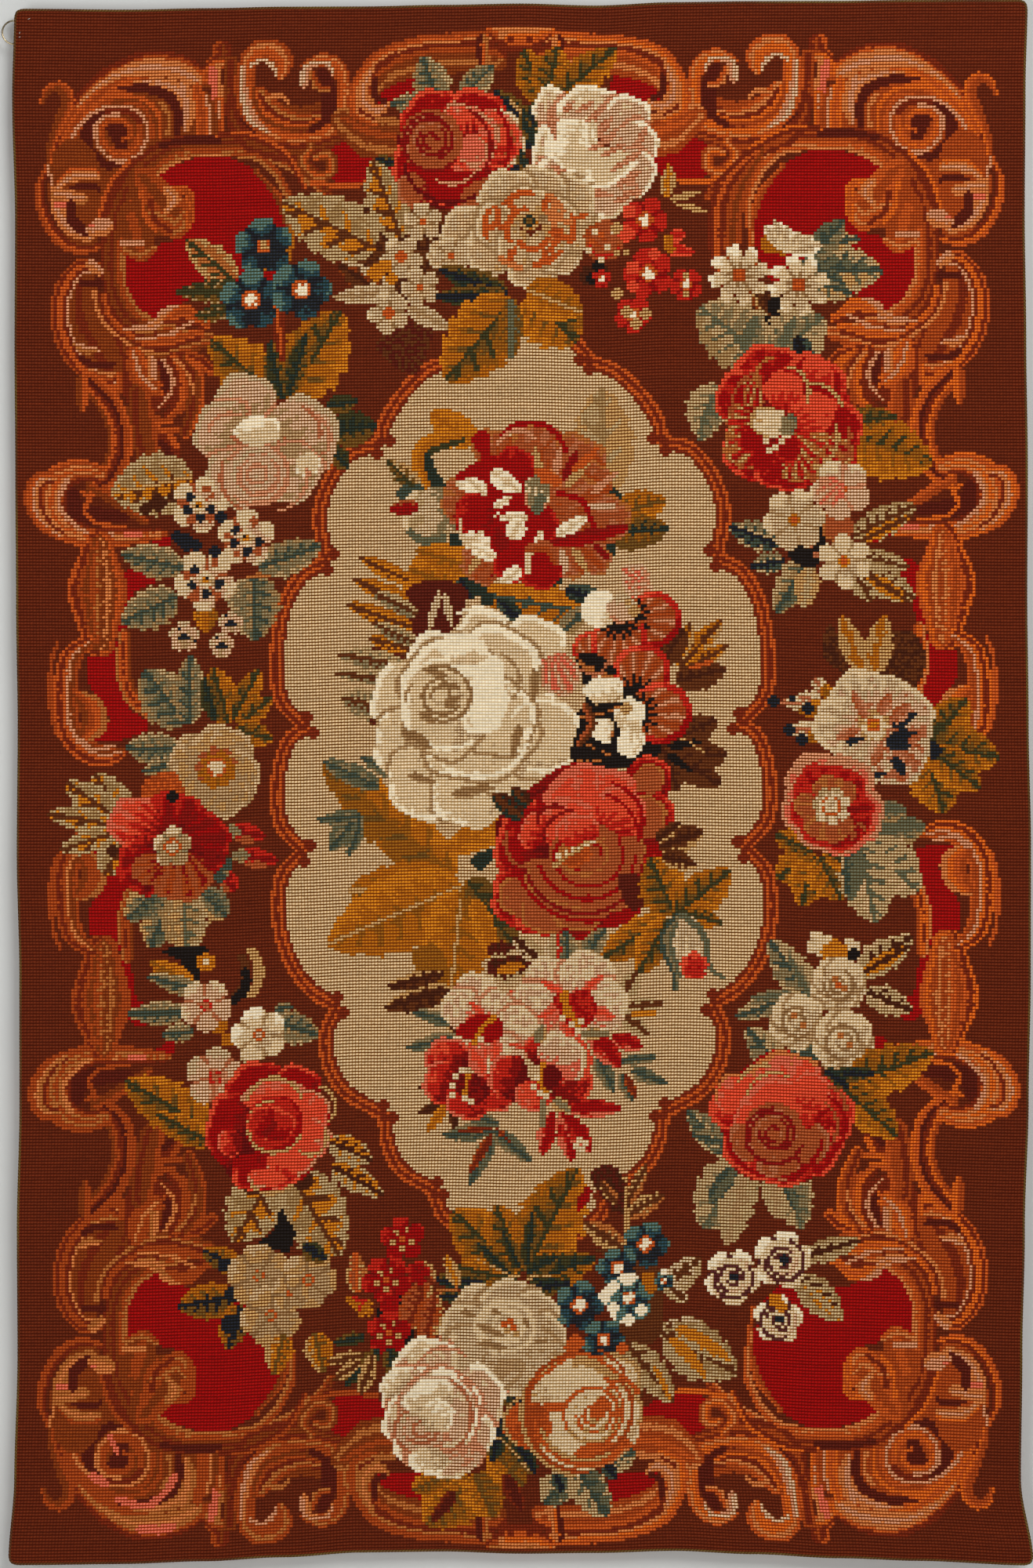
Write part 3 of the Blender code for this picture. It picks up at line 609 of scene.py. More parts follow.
def auricula(centre, size, toward):
    """A flower turned aside: scarlet rim, streaked tan within, and a ragged black throat."""
    where, right, down = spot(centre, size + 1)
    far = np.hypot(right, down) / size
    x, y = turned((0, 0), math.radians(toward), size * 0.8)
    streak = np.sin(np.arctan2(down - y, right - x) * 15)
    throat = np.hypot(right - x, down - y) / size
    work(where, far < 1, 0.5 + 0.45 * streak, "copper fawn fawn blush")
    rim = (far < 1) & (far > 0.78) & (throat > 0.75)
    work(where, rim, 0.5 - 0.3 * (right + down) / size, "scarlet cherry cherry coral")
    work(where, (far < 1.02) & (throat < 0.56 + 0.2 * streak), np.zeros(far.shape), "black")


fill(((18, 206), (30, 208), (40, 220), (44, 238), (38, 243), (16, 242), (20, 222)), "black")
auricula((42, 197), 9, 185)
auricula((22, 206), 6, 100)
auricula((31, 204), 9.5, 270)
auricula((38, 214), 9.5, 110)
auricula((44, 227), 10, 180)
flower("stone ivory white white", ((25, 193, 200, 6, 1, 0.2), (26, 219, 270, 5, 1.3, 0.1),
     (25, 232, 150, 4.5, 1, 0.2), (34, 227, 350, 5, 1.1, 0.1), (34, 235, 90, 6, 0.8, 0.1)))
spray(((17, 227, 33, 223, 4), (18, 234, 30, 240, 4), (30, 230, 28, 240, 3), (18, 208, 30, 214, 7)),
    "black black tan", veins=3)
petal((32, 193), 5.5, 4.5, "blush pink oat", 1.1, 0.1)
dots("straw", ((33, 225, 1.8), (36, 194, 1.8), (34, 191, 1.4)))
band([(20, 224), (22, 230), (18, 236)], (2.4, 3, 2.4), "bark fawn")
band([(18, 212), (24, 214), (28, 209)], (1, 1.4, 1), "rose")
leaf((16, 240), (26, 240), 6, "black black tan")

FAWN_STREAK = "scarlet fawn fawn fawn tan"
flower(RED_ROSE, ((18, 270, 0, 26.5, 1, -0.25), (0, 268, 190, 9, 1.6, -0.05), (40, 248, 320, 7.5, 1, -0.1),
     (39, 261, 0, 9, 1.2, -0.1), (-1, 286, 150, 9.5, 1.1, -0.1), (12, 290, 95, 9, 1.9, -0.1),
     (30, 280, 40, 9, 1.3, -0.1)))
flower(FAWN_STREAK, ((40, 248, 320, 5, 1, 0.1), (39, 260, 350, 6.5, 1.1, 0.1), (-2, 285, 150, 6.5, 1, 0.1),
     (6, 291, 110, 6, 1.3, 0.1), (18, 290, 80, 6, 1.5, 0.1), (29, 284, 40, 6, 1.2, 0.1),
     (12, 281, 110, 7, 1.9, 0.1), (33, 272, 10, 5.5, 1.4, 0)))
flower("scarlet cherry coral coral shell", ((22, 254, 272, 11.5, 1.3, 0.12), (31, 258, 320, 7.5, 1.2, 0.06),
     (14, 262, 250, 9, 1, 0.12), (3, 264, 200, 4, 1.6, 0)), streak=0.1)
cup((20, 272), 12, "fawn fawn tan", "scarlet", 330, 2, 0.9)
flower("scarlet cherry coral shell", ((17, 264, 260, 5.5, 1.3, 0.1),), ((20, 270, 16, 10, 150, "scarlet"),
     (19, 271, 19.5, 20, 150, "crimson"), (20, 270, 23, 60, 110, "scarlet"),
     (18, 270, 13, 200, 60, "crimson"), (20, 268, 17, 290, 70, "scarlet"),
     (24, 262, 14, 290, 90, "scarlet"), (2, 268, 8, 90, 120, "fawn"), (10, 262, 6, 180, 120, "crimson")))
spray(((0, 260, -10, 252, 7), (2, 256, -4, 250, 5)), "bark pine umber")
petal((17, 272), 2.6, 5, "flame copper flame", 0.7)
dots("straw", [(10 + 1.7 * step, 275 - 1.2 * step, 0.9) for step in range(7)])
dots("ivory", [(11 + 2.2 * step, 272 - 0.9 * step, 0.8) for step in range(6)])
fill(((30, 279), (37, 279), (38, 288), (33, 289)), "chestnut")
spray(((48, 292, 40, 273, 17), (48, 292, 66, 277, 15), (50, 291, 63, 294, 8), (45, 293, 24, 305, 13),
     (46, 293, 36, 310, 13)), OCHRE_LEAF)
spray(((43, 270, 57, 265, 10), (44, 273, 55, 276, 7), (42, 268, 50, 262, 5)), "umber bark bark straw")
spray(((14, 309, 13, 296, 9), (18, 306, 26, 295, 8)), GREY_LEAF)
leaf((9, 306), (9, 297), 6, "pear oat cherry")
petal((52, 301), 1.4, 8.5, "stone oat ivory ivory", 0.8)
band([(49, 292), (45, 300), (48, 310), (48, 316)], (2, 5, 3, 1.4), "sea lichen teal")
band([(51, 292), (57, 298), (59, 308), (64, 312)], (2, 2.4, 2, 1), "sea")
blossom((54, 308), 4.6, "scarlet cherry coral", eye=0)
BLUE_LEAF = "teal sea sea lichen"
spray(((31, 338, 43, 337, 4), (34, 341, 46, 346, 5), (23, 336, 29, 348, 6), (31, 342, 35, 351, 5),
     (-10, 360, -26, 362, 6), (-8, 358, -22, 354, 5), (-10, 360, 3, 370, 6), (-10, 362, -17, 378, 6),
     (-22, 326, -36, 322, 5), (-22, 330, -38, 334, 5)), BLUE_LEAF, veins=2, teeth=2)
spray(((32, 342, 36, 350, 3), (-10, 361, -17, 374, 3.4), (-10, 359, -22, 361, 2), (-9, 359, -4, 364, 1.6)),
    "rust copper")
spray(((31, 318, 36, 309, 7), (32, 321, 44, 320, 6), (31, 323, 40, 330, 6)), "bark pear pear", veins=3)
leaf((34, 323), (43, 323), 3, "gold ochre")
spray(((-22, 350, -34, 355, 4), (-23, 350, -22, 360, 4), (-26, 347, -34, 346, 3)), "umber bark", veins=1)
leaf((-24, 351), (-31, 361), 4, "ochre gold gold")
AZALEA_WHITE = "coral shell pink ivory pink ivory"
AZALEA_RED = "garnet crimson cherry coral shell"
leaf((0, 316), (-7, 322), 8, "crimson cherry coral")
leaf((0, 314), (3, 310), 6, "pear straw")
leaf((6, 330), (4, 336), 8, "garnet cherry")
flower(AZALEA_WHITE, ((7, 312, 225, 7.5, 1.1, 0.1), (20, 311, 305, 8.5, 1.1, 0.1),
     (26, 320, 5, 7, 1.2, 0.1), (13, 328, 95, 6.5, 1, 0), (3, 321, 185, 8, 1.1, 0.14),
     (-16, 317, 265, 7.5, 1, 0.1), (-21, 321, 205, 6, 1.1, 0.14), (-9, 320, 310, 4.5, 1.1, 0.1),
     (-3, 329, 5, 7.5, 1.2, 0.1), (-8, 336, 70, 6.5, 1.2, 0.1), (-18, 334, 140, 5.5, 1.1, 0)), line="blush",
    streak=0.08)
spray(((14, 317, 5, 312, 3.4), (17, 317, 25, 310, 4), (20, 321, 29, 324, 5), (12, 320, 4, 324, 3.4),
     (15, 322, 13, 331, 6), (-12, 324, -18, 319, 2.4), (-18, 332, -12, 344, 6), (-9, 330, -10, 338, 5),
     (-5, 332, 1, 334, 2)), "coral shell shell", veins=1, teeth=1)
fill(((9, 317), (14, 316), (20, 315), (23, 322), (18, 327), (11, 322)), "cherry scarlet")
leaf((14, 320), (16, 329), 4, "cherry scarlet")
fill(((-21, 327), (-15, 323), (-8, 324), (-7, 330), (-14, 332), (-21, 330)), "cherry scarlet cherry")
flower(AZALEA_RED, ((-25, 337, 240, 6.5, 1.1, 0), (-26, 345, 185, 6.5, 1.1, -0.05),
     (-18, 351, 100, 6, 1.3, 0), (-9, 348, 15, 6, 1.1, 0.1), (-5, 343, 180, 6.5, 1.2, -0.1),
     (15, 346, 25, 6.5, 1.2, -0.1), (3, 349, 110, 5, 1.2, 0.2), (5, 334, 300, 4.5, 1.2, 0)))
flower("cherry shell pink ivory", ((12, 337, 320, 7, 1.2, 0.1),), ((12, 338, 9, 290, 110, "coral"),))
fill(((-22, 344), (-16, 342), (-11, 347), (-15, 352), (-21, 349)), "garnet crimson")
fill(((5, 340), (11, 340), (11, 345), (6, 347)), "garnet")
for line in (((13, 316), (14, 321), (17, 326)), ((-10, 324), (-14, 328), (-16, 332)),
        ((-18, 343), (-19, 348)), ((6, 339), (5, 344), (7, 348)), ((12, 317), (13, 323))):
    band(line, 1.6, "gold")
dots("ivory", ((18, 325, 0.9), (15, 326, 0.9), (17, 328, 0.8), (12, 324, 0.8), (-23, 346, 0.9),
     (-22, 343, 0.8), (-20, 341, 0.8), (-23, 349, 0.8), (-19, 350, 0.9), (-17, 351, 0.8), (3, 346, 0.9),
     (5, 348, 0.9), (7, 349, 0.8), (-14, 331, 0.8), (4, 343, 0.8)))
for base, tip, width in (((21, 329), (31, 340), 8), ((28, 330), (38, 334), 6), ((14, 353), (31, 353), 6.5),
        ((9, 354), (6, 368), 6.5), ((12, 354), (16, 370), 7), ((13, 355), (22, 367), 7)):
    leaf(base, tip, width, "scarlet scarlet cherry shell", veins=2, teeth=1)
spray(((18, 329, 28, 329, 4), (9, 350, 15, 354, 5), (6, 350, 6, 360, 3), (4, 332, 6, 326, 5)), "lichen straw")
dots("ivory", ((17, 365, 0.9), (19, 366, 0.8), (18, 363, 0.8), (20, 364, 0.8)))


# The wreath's top: a red rose and a white one over a cream peony with flame at its petals' roots, small
# white flowers at the left, red ones at the right, and ochre leaves that reach into the medallion.
CORAL_ROSE = "crimson cherry coral coral shell blush"
TAN_RED = "crimson fawn fawn rose"
PINK_WHITE = "rose blush pink pink ivory white"
PINK_HEART = "pink ivory ivory white"
SAGE_LEAF = "bark gold pear sage pear"
DARK_LEAF = "ink pine bottle olive"
CREAM_BLOOM = "taupe stone cream oat oat ivory"
spray(((9, 32, 1, 14, 13), (9, 30, 12, 13, 14), (11, 30, 31, 13, 14)), OCHRE_LEAF)
spray(((4, 40, -8, 27, 9), (3, 46, 6, 30, 8), (3, 52, -8, 52, 6), (-40, 50, -46, 48, 4)), DARK_LEAF)
band([(-3, 30), (2, 36), (7, 41)], 1.2, "straw")
spray(((-25, 31, -31, 16, 13), (-18, 29, -8, 19, 10), (-28, 30, -41, 31, 7), (-33, 30, -37, 38, 6)),
    GREY_LEAF)
fill(((-52, 66), (-36, 62), (-24, 70), (-26, 88), (-44, 96), (-56, 86)), "umber bark")
fill(((-32, 100), (-28, 104), (-34, 118), (-46, 108)), "bark chestnut")
spray(((-46, 77, -76, 62, 22), (-38, 74, -47, 49, 16)), SAGE_LEAF, veins=4)
leaf((-40, 94), (-58, 82), 11, "umber bark nut oat")
spray(((-40, 91, -60, 93, 7), (-36, 96, -22, 104, 7)), "stone oat oat")
flower(RED_ROSE, ((-20, 47, 0, 18.5, 1, -0.3), (-27, 36, 250, 9.5, 1.15, -0.1),
     (-14, 36, 290, 9.5, 1.1, -0.05), (-33, 51, 170, 7.5, 1.2, -0.05), (-22, 55, 95, 9.5, 1.7, 0)))
flower(CORAL_ROSE, ((-8, 43, 350, 9.5, 1.05, -0.06), (-16, 43, 20, 9.5, 1.1, 0.1),
     (-19, 37, 250, 6.5, 0.9, 0)), ((-8, 43, 9.6, 285, 140, "ivory"), (-7, 43, 5, 270, 150, "fawn"),
     (-22, 45, 13, 300, 90, "crimson"), (-22, 47, 10, 20, 100, "blush"), (-20, 44, 17, 320, 70, "scarlet")),
    streak=0.12)
petal((-15, 46), 0.6, 5.5, "coral shell blush", 0.9, 0.1)
cup((-28, 43), 10, TAN_RED, "crimson", 40, 4)
flower(TAN_RED, ((-34, 59, 150, 5, 1.2, 0), (-13, 60, 60, 4, 1.6, 0)), ((-22, 48, 15, 60, 110, "garnet"),))
flower(PINK_WHITE, ((11, 34, 265, 8.5, 0.75, 0.1), (23, 34, 275, 9, 1.2, 0.1), (34, 37, 320, 8.5, 1, 0.05),
     (37, 46, 5, 7.5, 1.2, 0), (36, 54, 35, 7.5, 1.1, 0.1), (27, 60, 85, 8, 1.2, 0),
     (12, 47, 180, 8, 1.2, 0.06), (14, 56, 130, 9, 1, 0.1)), line="blush")
spray(((3, 56, 0, 46, 4), (4, 44, 1, 34, 5), (6, 57, 2, 52, 3)), "pine olive pine", veins=1, teeth=1)
flower(PINK_HEART, ((17, 44, 180, 9, 0.9, 0.2), (24, 52, 80, 6.5, 2, 0.2), (22, 40, 90, 5, 0.7, 0.3)))
spray(((9, 33, 12, 43, 2.6), (14, 34, 18, 30, 2), (18, 34, 24, 30, 2), (21, 37, 28, 32, 2),
     (25, 41, 30, 35, 2.4), (22, 46, 31, 41, 2.2), (26, 48, 34, 44, 2.2), (29, 53, 40, 46, 2.6),
     (31, 57, 39, 53, 2.6), (37, 46, 41, 39, 2.6), (10, 51, 18, 56, 2.6), (18, 57, 30, 61, 2.8),
     (30, 63, 38, 59, 2.2)), "blush rose", veins=1, teeth=1)
flower("taupe stone stone cream oat ivory", ((-18, 73, 200, 7.5, 1.3, 0.05), (-24, 80, 120, 5, 1.2, 0.05)),
    line="stone")
flower("taupe straw cream cream oat ivory", ((-9, 78, 140, 8.5, 1, 0.04), (4, 84, 95, 7.5, 1.1, 0.05),
     (13, 79, 60, 7, 1, 0.05), (19, 71, 10, 7, 1.1, 0.05), (16, 62, 320, 8, 1.1, 0.1),
     (6, 59, 280, 7.5, 1.2, 0.1), (-4, 61, 240, 8.5, 1.1, 0.1), (-7, 70, 190, 7, 1.1, 0.05),
     (-1, 78, 120, 6, 1.1, 0), (9, 77, 60, 6, 1.1, 0), (12, 68, 340, 6, 1.2, 0), (3, 64, 270, 5.5, 1.5, 0)),
    line="stone")
for centre, reach, start, sweep, wool in (((3, 71), 11, 222, 52, "flame"), ((2, 71), 13, 168, 34, "flame"),
        ((3, 71), 12, 298, 36, "apricot"), ((4, 70), 13, 345, 40, "flame"), ((3, 70), 13, 42, 42, "flame"),
        ((2, 71), 13, 96, 34, "apricot"), ((3, 72), 7, 150, 110, "flame"), ((4, 71), 7, 305, 95, "apricot"),
        ((4, 73), 5, 20, 130, "flame"), ((-12, 67), 5, 330, 90, "flame"), ((15, 79), 5, 190, 100, "flame"),
        ((16, 64), 5, 90, 100, "apricot")):
    arc(centre, reach, start, sweep, wool, 2.2)
spray(((-8, 70, -3, 72, 3), (-5, 62, -1, 66, 3), (9, 61, 7, 66, 3), (14, 72, 9, 73, 3), (9, 82, 7, 77, 3),
     (-4, 82, -1, 77, 3), (18, 68, 22, 66, 2.6)), "flame copper", veins=1, teeth=1)
blossom((3, 69), 3.2, "ochre straw", heart="pine olive", eye=0.6)
for column, row, size in ((-31, 69, 6.5), (-22, 80, 6.5), (-38, 80, 7), (-32, 90, 6.5), (-42, 98, 7)):
    blossom((column, row), size, CREAM_BLOOM, turn=column, heart="flame", eye=0.24, notch=0.34)
dots("gold", ((-46, 85, 2.6), (-43, 83, 2.2), (-41, 87, 2)))
spray(((-4, 92, -26, 84, 9), (-4, 93, -27, 93, 8)), DARK_LEAF)
spray(((-2, 94, -24, 120, 25), (3, 92, 18, 108, 24)), OCHRE_LEAF)
leaf((2, 91), (20, 98), 15, "moss ochre ochre gold", rib="straw")
leaf((-3, 94), (-3, 113), 9, "sea olive moss moss")
fill(((21, 83), (28, 83), (26, 89), (19, 88)), "umber")
dots("black", ((25, 83, 2), (23, 87, 2)))
flower("cherry copper fawn fawn copper", ((27, 75, 30, 6.5, 1, 0),), ((27, 75, 5, 30, 130, "cherry"),))
dots("ivory", ((24, 72, 1), (28, 77, 1), (22, 78, 0.9), (30, 72, 1), (26, 81, 1)))
dots("flame", ((26, 73, 1.2), (23, 75, 1)))
for column, row, size in ((40, 69, 7.5), (41, 86, 8), (53, 90, 5.5), (36, 99, 6), (26, 87, 3)):
    blossom((column, row), size, "crimson scarlet cherry cherry", turn=row, heart="flame white", eye=0.36)
dots("coral", ((35, 66, 2.4), (34, 73, 2.6), (36, 84, 2.2), (43, 80, 2), (36, 90, 2)))
dots("straw", ((34, 98, 2), (40, 99, 2), (37, 102, 2), (53, 87, 1.4), (53, 93, 1.4), (31, 92, 1.6)))
dots("gold", ((48, 76, 2.4), (50, 79, 1.8)))
for base, tip in (((46, 78), (56, 80)), ((47, 76), (53, 73))):
    bud(base, tip, 5, "cherry coral", "ochre")
dots("straw", ((31, 71, 1.6), (31, 79, 1.4), (34, 79, 1.2)))
leaf((47, 62), (48, 51), 5, "gold straw straw")
spray(((48, 63, 58, 60, 3), (50, 64, 60, 67, 2.6)), "straw")


# The wreath's left side: forget-me-nots, a white rose, black-eyed flowers, a wild rose over a red
# hollyhock, small whites, and a red rose above a pale cluster.
BLUSH_HEART = "rose blush pink oat"
FADED_WHITE = "taupe stone stone straw cream"
FORGET_ME_NOT = "ink ink navy navy blue sky sky"
leaf((-91, 87), (-107, 73), 12, "bottle tan straw tan straw")
spray(((-90, 90, -110, 90, 8), (-92, 96, -104, 98, 6)), "bottle olive sage bottle")
spray(((-77, 125, -99, 105, 20), (-74, 125, -57, 97, 24)), OCHRE_LEAF)
spray(((-76, 125, -80, 106, 8), (-74, 124, -68, 104, 9)), "pine bottle olive moss")
band([(-78, 96), (-77, 104), (-76, 112)], (5, 4, 2), "rust flame rust")
band([(-74, 72), (-76, 80), (-84, 84)], (4, 5, 2), "ochre tan")
blossom((-82, 76), 9.5, FORGET_ME_NOT, turn=0.4, heart="flame straw")
for column, row, size in ((-86, 93, 10), (-70, 90, 9.8)):
    blossom((column, row), size, FORGET_ME_NOT, turn=row / 9, heart="flame white", eye=0.33)
spray(((-62, 136, -46, 134, 13), (-62, 128, -52, 126, 7), (-61, 141, -55, 148, 7)), "pine bottle olive")
leaf((-105, 149), (-131, 154), 22, SAGE_LEAF, rib="straw")
dots("umber", ((-116, 157, 2.6), (-111, 155, 2), (-120, 159, 1.6)))
flower("fawn rose stone pink pink oat", ((-88, 127, 262, 11, 0.95, 0.1), (-95, 135, 195, 9.5, 1.1, 0.04),
     (-70, 137, 350, 12, 1.1, 0.02), (-74, 149, 60, 9.5, 1.1, 0.04), (-91, 150, 125, 9.5, 1.1, 0.04)),
    ((-93, 136, 7, 190, 110, "blush"), (-73, 136, 9, 290, 80, "rose"), (-70, 138, 9, 300, 90, "blush")),
    line="blush")
cup((-84, 149), 10.5, BLUSH_HEART, "blush", 210, 3)
flower(PINK_HEART, ((-84, 135, 270, 4.8, 1.6, 0.2), (-68, 146, 60, 3.6, 1.2, 0.2)),
    ((-84, 149, 12, 110, 90, "rose"), (-80, 149, 12, 350, 90, "blush")))
spray(((-84, 179, -64, 172, 13), (-86, 181, -85, 202, 19), (-108, 178, -128, 173, 12),
     (-110, 187, -128, 195, 15)), GREY_LEAF)
arc((-84, 190), 9, 250, 40, "tan")
leaf((-101, 189), (-101, 199), 9, "ochre moss gold")
for column, row, size in ((-108, 200, 5), (-96, 203, 4.2), (-93, 196, 4)):
    blossom((column, row), size, "ink stone pink oat", heart="ink", eye=0.3)
for column, row, size in ((-103, 158, 9), (-88, 169, 9.5), (-101, 182, 10)):
    blossom((column, row), size, "fawn stone pink ivory ivory", turn=row / 7, eye=0, notch=0.3)
    dots("fawn", [(*turned((column, row), angle, size * 0.62), 1.4) for angle in (0.9, 2.1, 3.3, 5.2)])
    dots("ink", [(*turned((column, row), angle, size * 0.45), 1.5) for angle in (0.3, 1.5, 2.7, 3.9)])
    blossom((column, row), 2.8, "straw ivory", heart="black gold", eye=0.5)
dots("ink", ((-107, 170, 2.6), (-104, 171, 2), (-98, 173, 1.8), (-96, 162, 2), (-110, 168, 1.6)))
spray(((-108, 228, -121, 210, 19), (-107, 228, -106, 206, 12), (-110, 236, -127, 235, 12),
     (-112, 240, -122, 243, 6)), GREY_LEAF)
spray(((-94, 228, -99, 210, 13), (-93, 227, -84, 211, 10), (-91, 229, -80, 220, 8),
     (-92, 230, -80, 234, 10)), OCHRE_LEAF, veins=3)
leaf((-98, 227), (-102, 213), 7, "pine bottle olive")
spray(((-127, 258, -137, 243, 13), (-129, 258, -146, 246, 12), (-130, 260, -152, 256, 9),
     (-130, 262, -148, 268, 9), (-127, 264, -134, 276, 13)), SAGE_LEAF, veins=3)
dots("umber", ((-128, 258, 3), (-126, 263, 3.4), (-131, 268, 2)))
flower(FADED_WHITE, ((-105, 239, 210, 8, 1.1, 0.14), (-96, 237, 290, 8.5, 1.2, 0.14),
     (-92, 246, 10, 8, 1.2, 0.12), (-96, 251, 70, 7.5, 1.1, 0.1), (-105, 248, 130, 8, 1.1, 0.1)),
    line="stone")
blossom((-98, 242), 6.8, "moss ochre ochre fawn", petals=9, heart="flame ivory", eye=0.5, notch=0.2)
for base, tip in (((-95, 262), (-82, 265)), ((-93, 270), (-78, 273)), ((-97, 275), (-92, 282))):
    bud(base, tip, 7, "crimson cherry fawn", "lichen sage")
dots("teal", ((-95, 273, 2.2), (-97, 277, 1.8)))
spray(((-112, 281, -120, 299, 16), (-117, 280, -127, 290, 12), (-103, 282, -95, 290, 12)),
    "teal sea lichen straw")
leaf((-109, 281), (-108, 302), 17, "sea sage pear straw sage")
fill(((-121, 246), (-112, 243), (-108, 252), (-120, 256)), "copper flame")
flower("garnet crimson crimson scarlet cherry", ((-112, 257, 275, 7.5, 1.4, 0.1),
     (-102, 266, 0, 8.5, 1.2, 0), (-121, 273, 150, 8.5, 1.1, 0)), streak=0.22)
flower("crimson cherry coral shell", ((-124, 259, 205, 8.5, 1, 0.1),), streak=0.15)
flower("crimson copper fawn fawn", ((-109, 277, 85, 7.5, 1.3, 0), (-120, 274, 150, 5, 1, 0)), streak=0.2)
dots("black", ((-112, 251, 1.6),))
blossom((-112, 267), 6.6, "lichen sage stone ivory", heart="flame oat", eye=0.4)
fill(((-116, 300), (-102, 299), (-104, 306), (-104, 312), (-107, 312), (-110, 304)), "black")
leaf((-106, 312), (-120, 303), 8, "moss ochre gold")
blossom((-102, 304), 3.4, "ochre gold", heart="ivory", eye=0.4)
leaf((-102, 314), (-121, 308), 7, GREY_LEAF)
arc((-96, 308), 11, 320, 80, "straw", 3.4)
arc((-98, 308), 9, 325, 90, "bark", 3)
arc((-96, 310), 7, 340, 90, "black", 3.4)
spray(((-108, 320, -127, 320, 9), (-106, 326, -116, 327, 7), (-80, 324, -66, 329, 12),
     (-80, 321, -74, 319, 5), (-90, 334, -84, 341, 5)), GREY_LEAF)
dots("ochre", ((-98, 324, 3.4), (-95, 329, 2.4)))
leaf((-100, 358), (-128, 341), 18, OCHRE_LEAF)
leaf((-100, 362), (-118, 352), 10, OCHRE_LEAF)
blossom((-102, 318), 8.6, "rose pink pink ivory", turn=1, heart="cherry rose", eye=0.24)
blossom((-99, 341), 9.8, "rose blush pink oat", turn=0.2, heart="cherry rose")
blossom((-85, 328), 9.2, "stone oat ivory white", turn=0.6, heart="flame pink", eye=0.2)
spray(((-62, 363, -48, 370, 10), (-61, 371, -44, 381, 9)), "umber gold pear pear")
spray(((-80, 374, -92, 394, 21), (-74, 373, -58, 400, 24)), SAGE_LEAF, veins=4)
leaf((-77, 376), (-77, 386), 12, "pear sage pear")
dots("umber", ((-86, 376, 3), (-70, 375, 3)))
flower(RED_ROSE, ((-81, 358, 0, 18.5, 1, -0.3), (-86, 345, 250, 8.5, 1.2, -0.12),
     (-73, 346, 300, 8, 1.1, -0.1), (-94, 357, 185, 8, 1.5, -0.1), (-82, 372, 95, 7, 1.7, -0.05)))
flower(CORAL_ROSE, ((-80, 348, 270, 6, 1.7, 0.05), (-69, 353, 340, 7, 1, 0.05), (-68, 362, 15, 6.5, 1, 0),
     (-73, 367, 60, 6.5, 1.5, 0.1), (-94, 362, 150, 4, 1.2, -0.2), (-80, 374, 95, 3.5, 2.4, 0)),
    ((-80, 351, 9, 195, 150, "straw"), (-68, 352, 7.4, 290, 110, "straw"), (-68, 362, 5, 330, 160, "straw"),
     (-80, 371, 8, 40, 110, "straw")))
cup((-80, 357), 9.5, "crimson scarlet cherry coral", "straw", 20, 2)
flower("crimson scarlet cherry coral", ((-78, 357, 330, 4.5, 1.2, 0.1), (-84, 356, 190, 4.5, 1.2, 0)))
fill(((-77, 383), (-72, 392), (-74, 398), (-86, 396), (-79, 391)), "black", rounded=False)
spray(((-90, 402, -102, 396, 9), (-92, 411, -110, 414, 13), (-90, 414, -94, 428, 11)), "ink olive moss ochre")
dots("ink", ((-95, 401, 2.4), (-92, 410, 2.6), (-93, 420, 3)))
for column, row, size in ((-84, 405, 10.5), (-68, 407, 9.5), (-80, 418, 10), (-74, 411, 6)):
    blossom((column, row), size, FADED_WHITE, turn=row, heart="flame sage", eye=0.2, notch=0.16)
leaf((-70, 396), (-62, 401), 7, "ink bottle olive")
spray(((-76, 424, -79, 437, 10), (-66, 424, -63, 437, 10)), "olive ochre gold straw")


# The wreath's right side: daisies, a red peony, white blooms, a blue-shaded white flower over a pink
# rimmed one, small white roses and a red rose.
DAISY = "taupe stone oat ivory white"
fill(((76, 92), (90, 92), (86, 104), (80, 110), (72, 100)), "bark umber")
band([(74, 93), (77, 101), (79, 110)], 2, "straw nut")
dots("black", ((82, 97, 3), (79, 102, 2), (80, 107, 2.2), (86, 95, 2)))
spray(((90, 84, 116, 86, 18), (94, 78, 109, 75, 7), (92, 88, 106, 93, 11)), "teal sea pear straw pear")
spray(((92, 82, 104, 69, 10), (90, 82, 104, 90, 6)), "teal sea lichen")
leaf((78, 113), (57, 97), 24, "sea pear sage lichen pear", veins=6)
leaf((80, 113), (97, 100), 21, "sea lichen pear pear pear", veins=6)
spray(((72, 112, 76, 100, 8), (84, 112, 88, 100, 6)), "sea sea lichen")
leaf((92, 114), (88, 106), 7, "black ink teal")
leaf((65, 122), (57, 140), 15, "sea lichen pear pear", bend=2)
dots("ochre", ((80, 77, 3), (84, 78, 2.6), (88, 79, 2)))
for tip_column, tip_row in ((78, 71), (81, 69), (85, 71), (90, 73), (94, 74), (97, 77)):
    leaf((87, 80), (tip_column, tip_row), 5.5, "oat ivory white", veins=1, teeth=1)
for column, row in ((70, 87), (89, 90)):
    blossom((column, row), 9.8, DAISY, petals=8, heart="copper flame", eye=0.22, turn=0.2, notch=0.4)
leaf((104, 138), (131, 147), 22, "bottle moss ochre ochre gold", veins=6, rib="moss")
leaf((102, 134), (120, 132), 10, "bottle olive moss ochre")
flower(RED_ROSE, ((85, 133, 0, 20, 1, -0.2), (79, 118, 265, 9, 1.25, 0), (94, 122, 310, 9.5, 1.2, 0.05),
     (70, 126, 200, 8, 1.15, 0), (73, 143, 150, 9, 1.1, 0), (84, 149, 95, 7, 1.5, 0),
     (97, 146, 50, 9, 1.1, 0), (101, 136, 5, 8, 1.2, 0)), streak=0.1)
STRAW_RED = "scarlet cherry fawn straw tan"
